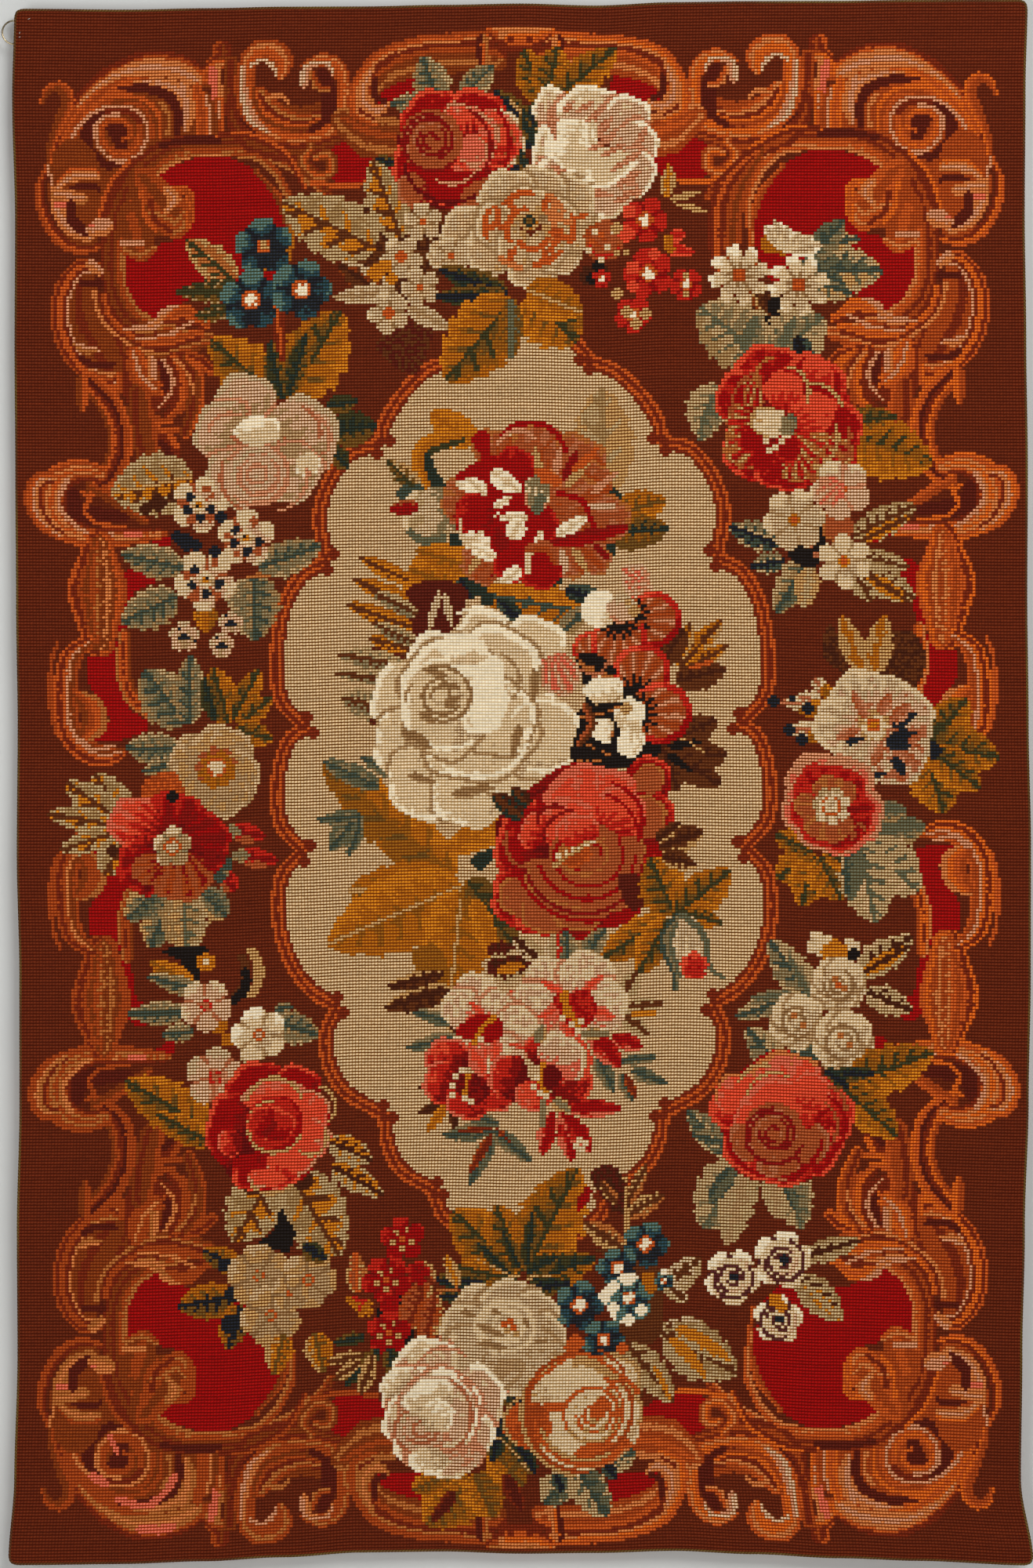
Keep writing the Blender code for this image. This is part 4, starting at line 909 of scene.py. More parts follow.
flower(STRAW_RED, ((71, 142, 150, 6.5, 1.1, 0), (98, 145, 50, 7.5, 1.1, 0.05), (75, 124, 100, 6, 0.7, -0.1),
     (92, 140, 30, 6, 1.1, 0.1), (70, 133, 180, 4.5, 1.1, -0.1), (88, 149, 80, 4, 1.3, 0)), streak=0.34)
flower("scarlet cherry coral coral", ((84, 124, 280, 6.5, 1, 0.15), (93, 131, 330, 8, 0.8, 0.15),
     (95, 118, 320, 4, 1.6, 0.1)), ((84, 124, 8, 280, 110, "straw"), (92, 132, 11, 270, 70, "straw"),
     (80, 130, 13, 170, 80, "fawn"), (82, 120, 7, 160, 100, "tan"), (90, 138, 11, 340, 90, "straw"),
     (90, 138, 15, 350, 90, "fawn")), streak=0.1)
flower("scarlet scarlet cherry", ((73, 140, 120, 4, 0.9, 0), (77, 146, 100, 4.5, 0.8, 0),
     (85, 142, 80, 5, 0.8, 0)))
petal((79, 134), 3.3, 6.5, "oat ivory ivory straw", 0.75, 0.1)
petal((85, 135), 2, 4, "sea lichen ivory", 0.7)
dots("ivory", ((78, 140, 1), (81, 142, 1), (79, 143, 0.9), (83, 140, 0.9)))
spray(((82, 173, 66, 167, 10), (84, 178, 73, 180, 8)), "ink teal pear lichen")
leaf((92, 176), (81, 195), 12, "teal sea sage pear")
leaf((92, 180), (90, 193), 9, "pear straw straw")
fill(((91, 166), (96, 166), (97, 176), (92, 180), (85, 177), (86, 174)), "black")
dots("rose", ((92, 172, 1.6), (94, 176, 1)))
spray(((106, 170, 126, 160, 11), (107, 180, 126, 190, 12), (108, 176, 124, 180, 8),
     (107, 182, 112, 191, 8)), "bark pear sage pear", veins=6)
spray(((108, 172, 125, 163, 4), (110, 182, 124, 191, 5)), "bark gold gold")
flower("fawn fawn tan", ((101, 167, 100, 5, 1, 0),))
blossom((102, 155), 9.8, "blush pink pink ivory", turn=0.8, heart="flame copper", eye=0.2)
petal((98, 156), 2.4, 5.5, "shell blush pink", 0.9, 0, 0.2)
blossom((87, 165), 10, "stone oat oat ivory", petals=6, turn=0.2, heart="ochre flame", eye=0.2, notch=0.2)
blossom((103, 178), 8.8, "stone oat ivory ivory", petals=6, turn=0.6, heart="gold flame", eye=0.24, notch=0.3)
fill(((112, 203), (124, 200), (129, 210), (122, 221), (112, 214)), "bark umber")
fill(((98, 198), (103, 206), (104, 214), (96, 208)), "umber bark")
spray(((109, 214, 102, 195, 9), (112, 214, 116, 195, 10)), "ochre straw straw", veins=2)
spray(((131, 236, 142, 221, 15), (130, 236, 152, 240, 18), (129, 240, 134, 258, 18),
     (130, 238, 146, 250, 14)), OCHRE_LEAF)
leaf((128, 238), (136, 228), 7, "bottle olive")
dots("ink", ((131, 238, 2.6), (129, 231, 2)))
for base, tip in (((97, 224), (82, 223)), ((97, 221), (93, 215)), ((95, 231), (84, 232)),
        ((95, 223), (88, 221))):
    leaf(base, tip, 6, "rose oat ivory", veins=2, teeth=2)
spray(((99, 224, 88, 226, 7), (98, 230, 90, 236, 6), (98, 222, 96, 217, 5)), "moss ochre gold")
dots("ink", ((80, 223, 1.8), (86, 222, 1.4), (85, 232, 1.9), (91, 225, 1.6), (89, 235, 1.6)))
flower("fawn rose pink oat ivory", ((108, 220, 262, 8, 1.15, 0.2), (117, 220, 290, 6, 1.1, 0.14),
     (122, 228, 345, 9.5, 1.2, 0), (101, 230, 185, 8.5, 1.1, 0.22), (120, 240, 40, 9, 1.1, -0.1),
     (109, 240, 115, 8.5, 1.1, 0.18)), streak=0.12)
blossom((112, 230), 5.5, "straw ivory straw", heart="flame gold", eye=0.4)
spray(((116, 236, 127, 233, 7), (118, 231, 126, 226, 3.4), (118, 240, 122, 246, 4),
     (115, 222, 117, 226, 2.6), (103, 236, 109, 234, 2.4), (108, 247, 116, 245, 2.6)), "ink ink navy",
    veins=2, teeth=3)
spray(((110, 228, 105, 219, 4), (114, 227, 118, 220, 4), (107, 231, 100, 235, 4), (115, 236, 111, 243, 4),
     (118, 229, 124, 223, 5), (120, 238, 126, 243, 4), (123, 236, 129, 232, 3)), "rose fawn blush")
spray(((93, 272, 80, 279, 13), (93, 272, 88, 288, 14), (94, 272, 101, 286, 16), (92, 271, 80, 265, 10),
     (96, 270, 105, 276, 8)), OCHRE_LEAF, veins=4)
spray(((108, 266, 128, 262, 14), (110, 258, 122, 257, 8), (108, 268, 120, 271, 8)), "sea sea lichen sage")
spray(((109, 268, 126, 283, 20), (107, 268, 112, 293, 20)), "sea pear pear cream pear")
leaf((106, 268), (104, 286), 8, "sea sea teal")
flower("coral shell blush", ((93, 247, 245, 8, 1.2, 0.1), (103, 248, 295, 8, 1.2, 0.1),
     (89, 257, 180, 7, 1.3, 0), (107, 258, 0, 8, 1.2, 0), (98, 264, 100, 7.5, 1.6, -0.1)))
flower("fawn crimson scarlet cherry cherry", ((94, 249, 245, 6.4, 1.2, 0), (102, 250, 295, 6.4, 1.2, 0),
     (91, 257, 180, 6, 1.3, 0), (105, 258, 0, 6.6, 1.2, 0), (98, 263, 100, 6.6, 1.6, 0)), streak=0.2)
flower("fawn fawn tan", ((97, 262, 95, 5.5, 1.5, 0), (99, 251, 280, 4.5, 1.6, 0), (90, 256, 180, 4, 1, 0)),
    streak=0.3)
blossom((98, 256), 6.4, "stone oat ivory pear", petals=7, heart="flame ivory oat", eye=0.5)
spray(((91, 317, 78, 299, 13), (88, 316, 67, 324, 9), (82, 340, 71, 327, 12)), "teal lichen pear pear",
    veins=4)
spray(((92, 318, 84, 304, 4), (84, 316, 72, 318, 4)), "sea lichen")
spray(((106, 309, 124, 297, 12), (109, 315, 124, 321, 10)), "umber pear cream pear")
leaf((108, 309), (123, 300), 5, "umber gold gold")
leaf((94, 336), (84, 332), 6, "teal sea")
blossom((94, 300), 4.4, "oat ivory ivory", eye=0, petals=4)
blossom((104, 301), 3.4, "oat ivory ivory", eye=0, petals=4)
blossom((99, 303), 4.6, "ochre gold gold", eye=0)
dots("black", ((102, 306, 2.2), (105, 303, 1.8)))
for column, row, size in ((100, 313, 9.5), (87, 325, 9.6), (102, 331, 10.6)):
    flower("taupe stone oat ivory ivory", [(*turned((column, row), angle, size * 0.4), math.degrees(angle),
          size * 0.58, 1.1, 0.12) for angle in (0.4, 1.7, 2.9, 4.1, 5.3)], line="stone")
    cup((column, row), size * 0.55, "stone oat ivory", "taupe", row * 9, 2)
    dots("tan", ((column - 1, row - 2, 1), (column + 2, row + 1, 1)))
dots("flame", ((100, 313, 1), (87, 324, 0.7)))
leaf((104, 344), (131, 334), 17, "bottle moss ochre gold", veins=6)
leaf((102, 346), (120, 361), 15, "bottle moss ochre gold", veins=6)
spray(((98, 342, 112, 341, 6), (96, 340, 104, 346, 6)), DARK_LEAF)
spray(((66, 368, 52, 354, 10), (64, 364, 54, 362, 6)), "teal sea pear lichen")
spray(((72, 370, 58, 392, 22), (84, 372, 90, 391, 15)), "sea lichen pear pear")
spray(((72, 371, 66, 397, 13), (80, 372, 82, 388, 9)), "stone pear pear", veins=4)
spray(((68, 372, 60, 384, 6), (84, 374, 89, 386, 4)), "sea teal")
flower("crimson scarlet cherry coral coral", ((82, 356, 0, 20, 1.05, -0.3), (68, 352, 200, 8.5, 1.15, 0.05),
     (98, 354, 345, 8, 1.2, -0.02), (72, 366, 140, 7.5, 1.2, -0.1), (94, 366, 40, 7.5, 1.2, -0.1),
     (82, 371, 95, 6.5, 1.7, -0.1)))
flower("coral coral shell apricot", ((84, 342, 272, 7.5, 1.5, 0), (67, 348, 215, 5.5, 1.3, -0.1)), streak=0.1)
flower("cherry coral coral shell", ((82, 352, 268, 9, 1.4, 0), (92, 347, 310, 6, 1.1, 0),
     (73, 357, 190, 6, 1, -0.1)), ((80, 350, 8.5, 190, 110, "straw"), (77, 348, 9, 200, 80, "straw"),
     (96, 352, 7, 280, 110, "fawn"), (92, 358, 11, 300, 110, "scarlet"), (92, 358, 8.5, 300, 110, "fawn"),
     (90, 360, 6, 300, 110, "scarlet")))
flower(TAN_RED, ((71, 364, 150, 5, 1.3, 0.1), (93, 364, 20, 5, 1.3, 0.1), (82, 371, 95, 4.5, 1.6, 0.2)))
cup((80, 361), 10, TAN_RED, "crimson", 20, 4)
arc((79, 360), 14, 110, 70, "scarlet", 1.6)
arc((81, 360), 15, 10, 70, "scarlet", 1.6)
spray(((90, 400, 109, 394, 8), (89, 406, 104, 420, 12)), "umber pear sage pear")
leaf((91, 408), (104, 420), 4, "pear gold")
spray(((47, 412, 58, 401, 10), (46, 409, 54, 416, 6), (46, 424, 60, 422, 6)), "bark oat pear", veins=4)
spray(((47, 426, 70, 438, 20), (34, 428, 50, 448, 12), (32, 436, 40, 446, 7), (40, 418, 48, 428, 6)),
    "bark pear sage pear", veins=6)
spray(((50, 424, 68, 434, 7), (48, 427, 60, 440, 6), (43, 436, 49, 447, 2.6)), "gold gold pear")
PLUM_WHITE = "plum oat ivory white"
for column, row, size in ((68, 407, 9), (84, 401, 9.5), (83, 420, 8)):
    blossom((column, row), size, PLUM_WHITE, turn=row, eye=0, notch=0.2)
    cup((column, row + 0.5), size * 0.75, "stone pink ivory ivory", "plum", row * 7, 3)
    dots("ink", ((column + 0.5, row, size * 0.16),))
dots("gold", ((82, 414, 2.2), (84, 416, 1.8)))


# The wreath's foot: white, pink-white and cream roses on ochre leaves, with red sprays at the left and
# forget-me-nots at the right.
spray(((0, 406, -22, 386, 22), (1, 405, -8, 384, 16), (2, 405, 18, 372, 24), (-1, 408, -20, 404, 12)),
    OCHRE_LEAF)
leaf((3, 408), (24, 401), 13, "pine bottle moss ochre")
spray(((2, 406, 12, 400, 7), (-2, 407, -14, 396, 5), (0, 404, -6, 392, 5), (2, 403, 4, 386, 5)),
    "pine bottle olive")
band([(-18, 400), (-8, 404), (0, 407), (12, 406), (22, 406)], (1, 1, 1.2, 1, 1), "straw")
spray(((2, 411, 16, 409, 7), (-12, 409, -28, 408, 7), (-18, 414, -26, 413, 5)), DARK_LEAF)
leaf((-20, 410), (-24, 400), 5, "gold straw straw")
band([(-20, 411), (-26, 412), (-32, 414)], 1.4, "tan")
fill(((24, 398), (34, 406), (30, 424), (44, 428), (46, 410), (40, 400)), "umber bark chestnut")
fill(((22, 374), (30, 372), (36, 384), (30, 386)), "umber chestnut")
spray(((33, 398, 20, 389, 8), (34, 388, 46, 381, 7), (34, 384, 40, 371, 5), (31, 384, 25, 376, 4)),
    "bark straw tan", veins=6)
band([(34, 400), (34, 388), (33, 374)], (1.8, 1.6, 1.2), "straw")
leaf((22, 378), (18, 386), 4, "scarlet crimson")
fill(((-38, 412), (-32, 412), (-34, 420), (-34, 428), (-38, 430), (-46, 418)), "black")
spray(((-36, 424, -30, 408, 12), (-30, 428, -27, 412, 9), (-28, 410, -34, 402, 8)),
    "rust fawn copper straw", veins=7)
leaf((-52, 412), (-53, 399), 8, "flame fawn straw tan", veins=6)
spray(((-47, 419, -56, 413, 5), (-48, 414, -52, 420, 4)), "ochre gold cherry")
for column, row, size in ((-38, 395, 7.5), (-43, 408, 8), (-42, 425, 7.5), (-42, 415, 3.6), (-33, 406, 4)):
    blossom((column, row), size, "crimson scarlet scarlet cherry", turn=row, eye=0, notch=0.34)
for column, row in ((-38, 395), (-43, 408), (-42, 425)):
    dots("straw", [(*turned((column, row), angle, 3), 0.9) for angle in (0.3, 1.5, 2.8, 4, 5.2)])
    dots("flame", ((column, row, 1.4),))
spray(((-45, 430, -56, 442, 6), (-50, 426, -60, 428, 5), (-42, 430, -40, 440, 6)), "pine bottle olive")
spray(((-47, 432, -51, 445, 6), (-50, 432, -62, 434, 5), (-51, 434, -60, 440, 4)), "bark straw straw")
spray(((-14, 472, -30, 487, 20), (-14, 470, -8, 484, 16), (-8, 462, 2, 474, 14), (-22, 470, -34, 476, 10)),
    "olive moss ochre gold", veins=6)
spray(((-4, 470, 1, 482, 6), (-20, 476, -28, 486, 5)), "chestnut rust")
spray(((-6, 452, -8, 466, 8), (-2, 458, 6, 470, 8), (-8, 442, 2, 447, 9)), DARK_LEAF)
band([(-8, 457), (-2, 462), (4, 469)], 1, "straw")
spray(((16, 470, 8, 480, 12), (19, 468, 28, 484, 14), (28, 468, 38, 463, 9), (30, 466, 34, 459, 6)),
    "teal sea pear pear", veins=4)
spray(((27, 466, 32, 472, 5), (12, 470, 14, 476, 4)), "ink teal")
for column, row, size in ((40, 397, 7.6), (31, 404, 6.6), (19, 416, 8), (27, 427, 7), (46, 409, 3)):
    blossom((column, row), size, FORGET_ME_NOT, turn=row, heart="flame white", eye=0.36)
blossom((35, 414), 8.4, "navy blue sky white", turn=0.4, heart="flame white", eye=0.3)
dots("white", ((30, 410, 2), (35, 408, 1.8), (30, 417, 2), (39, 418, 1.9), (35, 421, 1.8), (27, 413, 1.6),
     (46, 406, 1.4)))
dots("ochre", ((41, 408, 2.4), (42, 411, 1.8)))
dots("flame", ((18, 428, 2.6), (16, 429, 2), (33, 430, 2)))
flower("taupe stone stone oat oat ivory", ((-13, 418, 240, 8.5, 1.2, 0.1), (-2, 415, 275, 7.5, 1.4, 0.1),
     (5, 419, 325, 7.5, 1.1, 0.1), (-18, 425, 190, 8, 1.2, 0.1), (8, 427, 10, 7, 1.2, 0.1),
     (3, 435, 60, 10.5, 1.2, 0.12), (-12, 433, 120, 9.5, 1.3, 0.1)), line="stone")
cup((-4, 423), 11, "stone oat ivory ivory", "oat", 200, 3, 0.95)
spray(((-14, 422, -5, 426, 3), (-13, 428, -4, 430, 3), (1, 420, 3, 423, 2.6), (-19, 418, -14, 420, 2.4),
     (-9, 417, -6, 419, 2.2), (5, 427, 9, 428, 2)), "taupe stone", veins=1, teeth=2)
dots("flame", ((-5, 422, 1.5), (-2, 423, 1.4), (-3, 421, 1)))
dots("straw", ((-4, 424, 1), (-1, 425, 0.9)))
flower(PINK_WHITE, ((-30, 436, 262, 9.5, 1.1, 0.12), (-36, 444, 215, 7.5, 1.2, 0.1),
     (-36, 453, 190, 7.5, 1.2, 0.04), (-32, 461, 150, 7.5, 1.2, 0.02), (-13, 446, 350, 8.5, 1.3, 0.04),
     (-17, 459, 30, 9, 1.2, 0.06), (-24, 464, 95, 8, 1.5, 0.02), (-25, 450, 0, 13, 1, 0.08)),
    ((-27, 452, 14.5, 300, 130, "blush"), (-28, 452, 13, 300, 120, "rose"),
     (-24, 440, 10, 200, 110, "blush")), line="blush")
cup((-31, 456), 9, BLUSH_HEART, "rose", 100, 3, 0.9)
flower("pink oat ivory white", ((-29, 446, 250, 6, 1.4, 0.2), (-26, 452, 330, 5.5, 1, 0.2),
     (-40, 441, 220, 4, 1.4, 0.2), (-28, 466, 100, 4, 1.6, 0.1)))
CREAM_ROSE = "flame straw cream ivory ivory straw"
flower(CREAM_ROSE, ((18, 439, 262, 8, 1.6, 0.16), (31, 440, 320, 8, 1.1, 0.16), (20, 450, 0, 17, 1, 0.14),
     (33, 452, 0, 7, 1.5, 0.1), (16, 460, 130, 9.5, 1.2, 0.14)), line="flame")
flower("flame copper flame", ((3, 454, 180, 8, 0.9, 0.1),), ((4, 453, 8.4, 120, 160, "straw"),))
flower("copper flame apricot", ((27, 463, 70, 4.5, 2.2, 0),))
cup((24, 451), 9.5, "flame straw ivory ivory", "flame", 150, 3)
for reach, start, sweep, wool in ((12, 300, 110, "flame"), (14.5, 320, 120, "copper"),
        (17, 40, 130, "flame"), (19.5, 90, 120, "copper"), (15.6, 60, 100, "straw"),
        (21, 100, 110, "straw"), (12.8, 330, 80, "ivory")):
    arc((22, 450), reach, start, sweep, wool, 1.6)
arc((21, 451), 20, 200, 60, "copper", 1.4)
arc((19, 446), 17, 290, 40, "copper", 1.4)
band([(8, 448), (15, 448)], 1.2, "flame")
petal((26, 449), 5.3, 4, "flame flame copper", 0.7)
dots("straw", ((24, 453, 1), (27, 456, 1.1), (22, 456, 1)))


# The cloth as it hangs: canvas, 903 by 1386 mm, pulled a little out of square along its edges, flat
# where its top edge is held, and swelling softly below. The edge rows are in millimetres, outwards.
WIDTH, LENGTH, THICKNESS, CORNER_RADIUS = 0.903, 1.386, 0.003, 0.009
SIDE_DROP = (0.000, 0.080, 0.190, 0.305, 0.415, 0.528, 0.640, 0.750, 0.865, 0.975, 1.090, 1.200, 1.310, 1.386)
LEFT_OUT = (1.0, 2.8, 0.2, 0.7, 0.0, -0.7, -2.1, -1.4, -4.0, -4.2, -1.6, -2.0, 0.7, 5.6)
RIGHT_OUT = (0.5, -1.4, -2.1, -0.7, 0.7, 0.2, 1.4, 3.5, 3.3, 1.4, -2.1, -4.7, -6.0, 4.9)
LEVEL_ACROSS = (
    -0.4515, -0.350, -0.280, -0.210, -0.140, -0.070, 0.000, 0.066, 0.136, 0.206, 0.280, 0.350, 0.4515
)
TOP_OUT = (-4.6, -5.4, -4.2, -2.8, -2.6, -1.2, 0.0, -1.8, 1.2, 2.1, 2.3, 3.3, 3.6)
BOTTOM_OUT = (6.6, 6.3, 4.2, 0.7, -3.5, -4.2, -2.1, -2.8, -4.9, -2.1, 1.4, 3.5, 6.6)
# each swell's place across and down, its reach both ways, and its depth to the back in millimetres
SWELLS = (
    (-0.300, 0.62, 0.075, 0.420, 3.0), (-0.130, 0.74, 0.070, 0.460, -2.6), (0.040, 0.66, 0.065, 0.400, 2.2),
    (0.200, 0.80, 0.075, 0.430, -2.8), (0.360, 0.70, 0.060, 0.380, 2.4), (-0.455, 0.95, 0.050, 0.170, -4.5),
    (0.455, 1.23, 0.050, 0.110, -5.0), (-0.450, 1.38, 0.090, 0.075, -6.5), (0.450, 1.38, 0.085, 0.060, -7.5),
    (0.000, 1.39, 0.180, 0.060, 3.2),
)
FLAT_TOP, FULL_SWELL = 0.045, 0.300


def eased(share):
    """0 to 1 with no corner at either end."""
    share = np.clip(share, 0, 1)
    return share * share * (3 - 2 * share)


def pulled(at, places, out):
    """How far an edge stands out at these places, in metres, eased from row to row."""
    places, out = np.array(places), np.array(out) / 1000
    after = np.clip(np.searchsorted(places, at), 1, len(places) - 1)
    share = eased((at - places[after - 1]) / (places[after] - places[after - 1]))
    return out[after - 1] + share * (out[after] - out[after - 1])


def hung(across, drop, proud):
    """Where points of the square cloth hang, standing proud towards the front by so much."""
    inner_x, inner_z = WIDTH / 2 - CORNER_RADIUS, LENGTH / 2 - CORNER_RADIUS
    u = np.clip((np.abs(across) - inner_x) / CORNER_RADIUS, 0, 1)
    v = np.clip((np.abs(LENGTH / 2 - drop) - inner_z) / CORNER_RADIUS, 0, 1)
    across = across + np.sign(across) * CORNER_RADIUS * u * (np.sqrt(1 - v * v / 2) - 1)
    drop = drop - np.sign(LENGTH / 2 - drop) * CORNER_RADIUS * v * (np.sqrt(1 - u * u / 2) - 1)
    side, level = across / (WIDTH / 2), 1 - 2 * drop / LENGTH
    left, right = pulled(drop, SIDE_DROP, LEFT_OUT), pulled(drop, SIDE_DROP, RIGHT_OUT)
    top, bottom = pulled(across, LEVEL_ACROSS, TOP_OUT), pulled(across, LEVEL_ACROSS, BOTTOM_OUT)
    depth = np.zeros(np.shape(across))
    for centre_x, centre_drop, reach_x, reach_z, back_mm in SWELLS:
        off = ((across - centre_x) / reach_x) ** 2 + ((drop - centre_drop) / reach_z) ** 2
        depth += back_mm / 1000 * np.exp(-off)
    depth *= eased((drop - FLAT_TOP) / (FULL_SWELL - FLAT_TOP))
    x = across + (right * (1 + side) - left * (1 - side)) / 2
    z = (top * (1 + level) - bottom * (1 - level)) / 2 - drop
    return np.stack([x, depth - proud, z], axis=-1)


def counted_grid(name, across, down):
    """A sheet of cells, and each corner's place on it, counted from the top left."""
    cells = bmesh.new()
    bmesh.ops.create_grid(cells, x_segments=across, y_segments=down, size=0.5)
    mesh = bpy.data.meshes.new(name)
    cells.to_mesh(mesh)
    cells.free()
    corners = np.empty(len(mesh.vertices) * 3, np.float32)
    mesh.vertices.foreach_get("co", corners)
    corners = corners.reshape(-1, 3)
    piece = bpy.data.objects.new(name, mesh)
    bpy.context.scene.collection.objects.link(piece)
    return piece, np.rint((corners[:, 0] + 0.5) * across), np.rint((0.5 - corners[:, 1]) * down)


def set_places(mesh, places, counted):
    """Moves the corners to their places, and keeps each one's count of stitches for the yarn's pattern."""
    mesh.vertices.foreach_set("co", places.astype(np.float32).ravel())
    kept = mesh.attributes.new("stitch_count", "FLOAT_VECTOR", "POINT")
    kept.data.foreach_set("vector", np.pad(counted, ((0, 0), (0, 1))).astype(np.float32).ravel())
    mesh.shade_smooth()
    mesh.update()


def face_corners(mesh, values):
    """The values of each face's four corners."""
    corners = np.empty(len(mesh.loops), np.int32)
    mesh.loops.foreach_get("vertex_index", corners)
    return values[corners].reshape(-1, 4)


def dye(mesh, wools):
    """Gives each face its wool's colour; wools holds one wool number a face."""
    shades = np.array(list(WOOLS.values())) / 255
    faces = np.repeat(np.pad(shades[wools], ((0, 0), (0, 1)), constant_values=1.0), 4, axis=0)
    colours = mesh.color_attributes.new("wool", "BYTE_COLOR", "CORNER")
    colours.data.foreach_set("color_srgb", faces.astype(np.float32).ravel())


def bake_map(mesh, across, down, folds):
    """Lays the piece's own picture map in folds, side by side; across and down run from 0 to 1."""
    side_gap, end_gap = 0.01, 0.004
    across, down = face_corners(mesh, across), face_corners(mesh, down)
    fold = np.minimum(np.floor(down.mean(axis=1) * folds), folds - 1)[:, None]
    u = (fold + side_gap + (1 - 2 * side_gap) * across) / folds
    v = 1 - (end_gap + (1 - 2 * end_gap) * (down * folds - fold))
    layer = mesh.uv_layers.new(name="OFBake")
    layer.data.foreach_set("uv", np.stack([u, v], axis=-1).astype(np.float32).ravel())


def link_nodes(tree, kind, inputs=None, **settings):
    """Adds a node; inputs are values or other nodes' sockets, by the name or number of the input."""
    node = tree.nodes.new(kind)
    for key, value in settings.items():
        setattr(node, key, value)
    for key, value in (inputs or {}).items():
        if isinstance(value, bpy.types.NodeSocket):
            tree.links.new(value, node.inputs[key])
        else:
            node.inputs[key].default_value = value
    return node


def arithmetic(tree, operation, first, second=0.0, third=0.0):
    return link_nodes(tree, "ShaderNodeMath", {0: first, 1: second, 2: third}, operation=operation).outputs[0]


def mixed(tree, share, first, second, blend="MIX"):
    colours = {0: share, 6: first, 7: second}
    return link_nodes(tree, "ShaderNodeMix", colours, data_type="RGBA", blend_type=blend).outputs[2]


def ranged(tree, value, low, high, to_low=0.0, to_high=1.0, curve="LINEAR"):
    """The value taken from one range, low to high, to another."""
    spans = {0: value, 1: low, 2: high, 3: to_low, 4: to_high}
    return link_nodes(tree, "ShaderNodeMapRange", spans, interpolation_type=curve).outputs[0]


def noise(tree, places, scale, detail):
    cloudy = {"Vector": places, "Scale": scale, "Detail": detail}
    return link_nodes(tree, "ShaderNodeTexNoise", cloudy).outputs[0]


def plain_material(name):
    """A new material, its tree of nodes and its shader."""
    stuff = bpy.data.materials.new(name)
    stuff.use_nodes = True
    return stuff, stuff.node_tree, stuff.node_tree.nodes["Principled BSDF"]


def group(name, inputs, outputs):
    """A shared effect with named sockets, and its two ends."""
    tree = bpy.data.node_groups.new(name, "ShaderNodeTree")
    for socket, kind, value in inputs:
        made = tree.interface.new_socket(socket, in_out="INPUT", socket_type=kind)
        if value is not None:
            made.default_value = value
    for socket, kind in outputs:
        tree.interface.new_socket(socket, in_out="OUTPUT", socket_type=kind)
    return tree, tree.nodes.new("NodeGroupInput").outputs, tree.nodes.new("NodeGroupOutput").inputs


# The wool yarn, the look that all the stitched pieces share: it is laid in counted stitches, and each one
# leans, is twisted and beaded at its ends, and leaves a gap to the next row. The gap is darkened with painted
# shade, with a brown tint that also stands for the canvas there, and the crowns get a faint painted sheen.
COLOUR, NUMBER, VECTOR = "NodeSocketColor", "NodeSocketFloat", "NodeSocketVector"
yarn, given, made = group(
    "wool_yarn",
    (("Count", VECTOR, None), ("Wool", COLOUR, (0.5, 0.5, 0.5, 1)), ("Lean", NUMBER, 0.55),
     ("Gap Shade", NUMBER, 0.5), ("Bead", NUMBER, 0.3)),
    (("Colour", COLOUR), ("Height", NUMBER)),
)
# the height: a ridge along each row that wanders a little, a bead for each stitch, and twisted plies
count = link_nodes(yarn, "ShaderNodeSeparateXYZ", {0: given["Count"]})
wander = arithmetic(yarn, "MULTIPLY_ADD", noise(yarn, given["Count"], 0.9, 1.0), 0.22, -0.11)
down = arithmetic(yarn, "FRACT", arithmetic(yarn, "ADD", count.outputs[1], wander))
ridge = arithmetic(yarn, "PINGPONG", arithmetic(yarn, "MULTIPLY", down, 2.0), 1.0)
leaned = arithmetic(yarn, "MULTIPLY_ADD", down, given["Lean"], count.outputs[0])
bead = arithmetic(yarn, "PINGPONG", arithmetic(yarn, "MULTIPLY", leaned, 2.0), 1.0)
twist = arithmetic(yarn, "MULTIPLY_ADD", down, 4.0, arithmetic(yarn, "MULTIPLY", count.outputs[0], 5.0))
twist = arithmetic(yarn, "SINE", arithmetic(yarn, "MULTIPLY", twist, math.tau))
crown = ranged(yarn, ridge, 0.0, 0.8, curve="SMOOTHSTEP")
plump = ranged(yarn, bead, 0.0, 0.6, curve="SMOOTHSTEP")
unbeaded = arithmetic(yarn, "SUBTRACT", 1.0, given["Bead"])
body = arithmetic(yarn, "MULTIPLY", crown, arithmetic(yarn, "MULTIPLY_ADD", plump, given["Bead"], unbeaded))
yarn.links.new(arithmetic(yarn, "MULTIPLY_ADD", twist, 0.07, body), made["Height"])
# the gaps: painted shade, strongest where the body is low, less of it beside dark wools and white ones
gap_shade_share = ranged(yarn, body, 0.10, 0.90, 1.0, 0.0)
pale = link_nodes(yarn, "ShaderNodeRGBToBW", {0: given["Wool"]}).outputs[0]
dark_wool = ranged(yarn, pale, 0.0, 0.5, 0.7, 1.0)
white_wool = ranged(yarn, pale, 0.68, 0.9, 1.0, 0.38)
gap_shade_share = arithmetic(yarn, "MULTIPLY", gap_shade_share, arithmetic(yarn, "MINIMUM", dark_wool, white_wool))
gap_shade_share = arithmetic(yarn, "MULTIPLY", gap_shade_share, given["Gap Shade"])
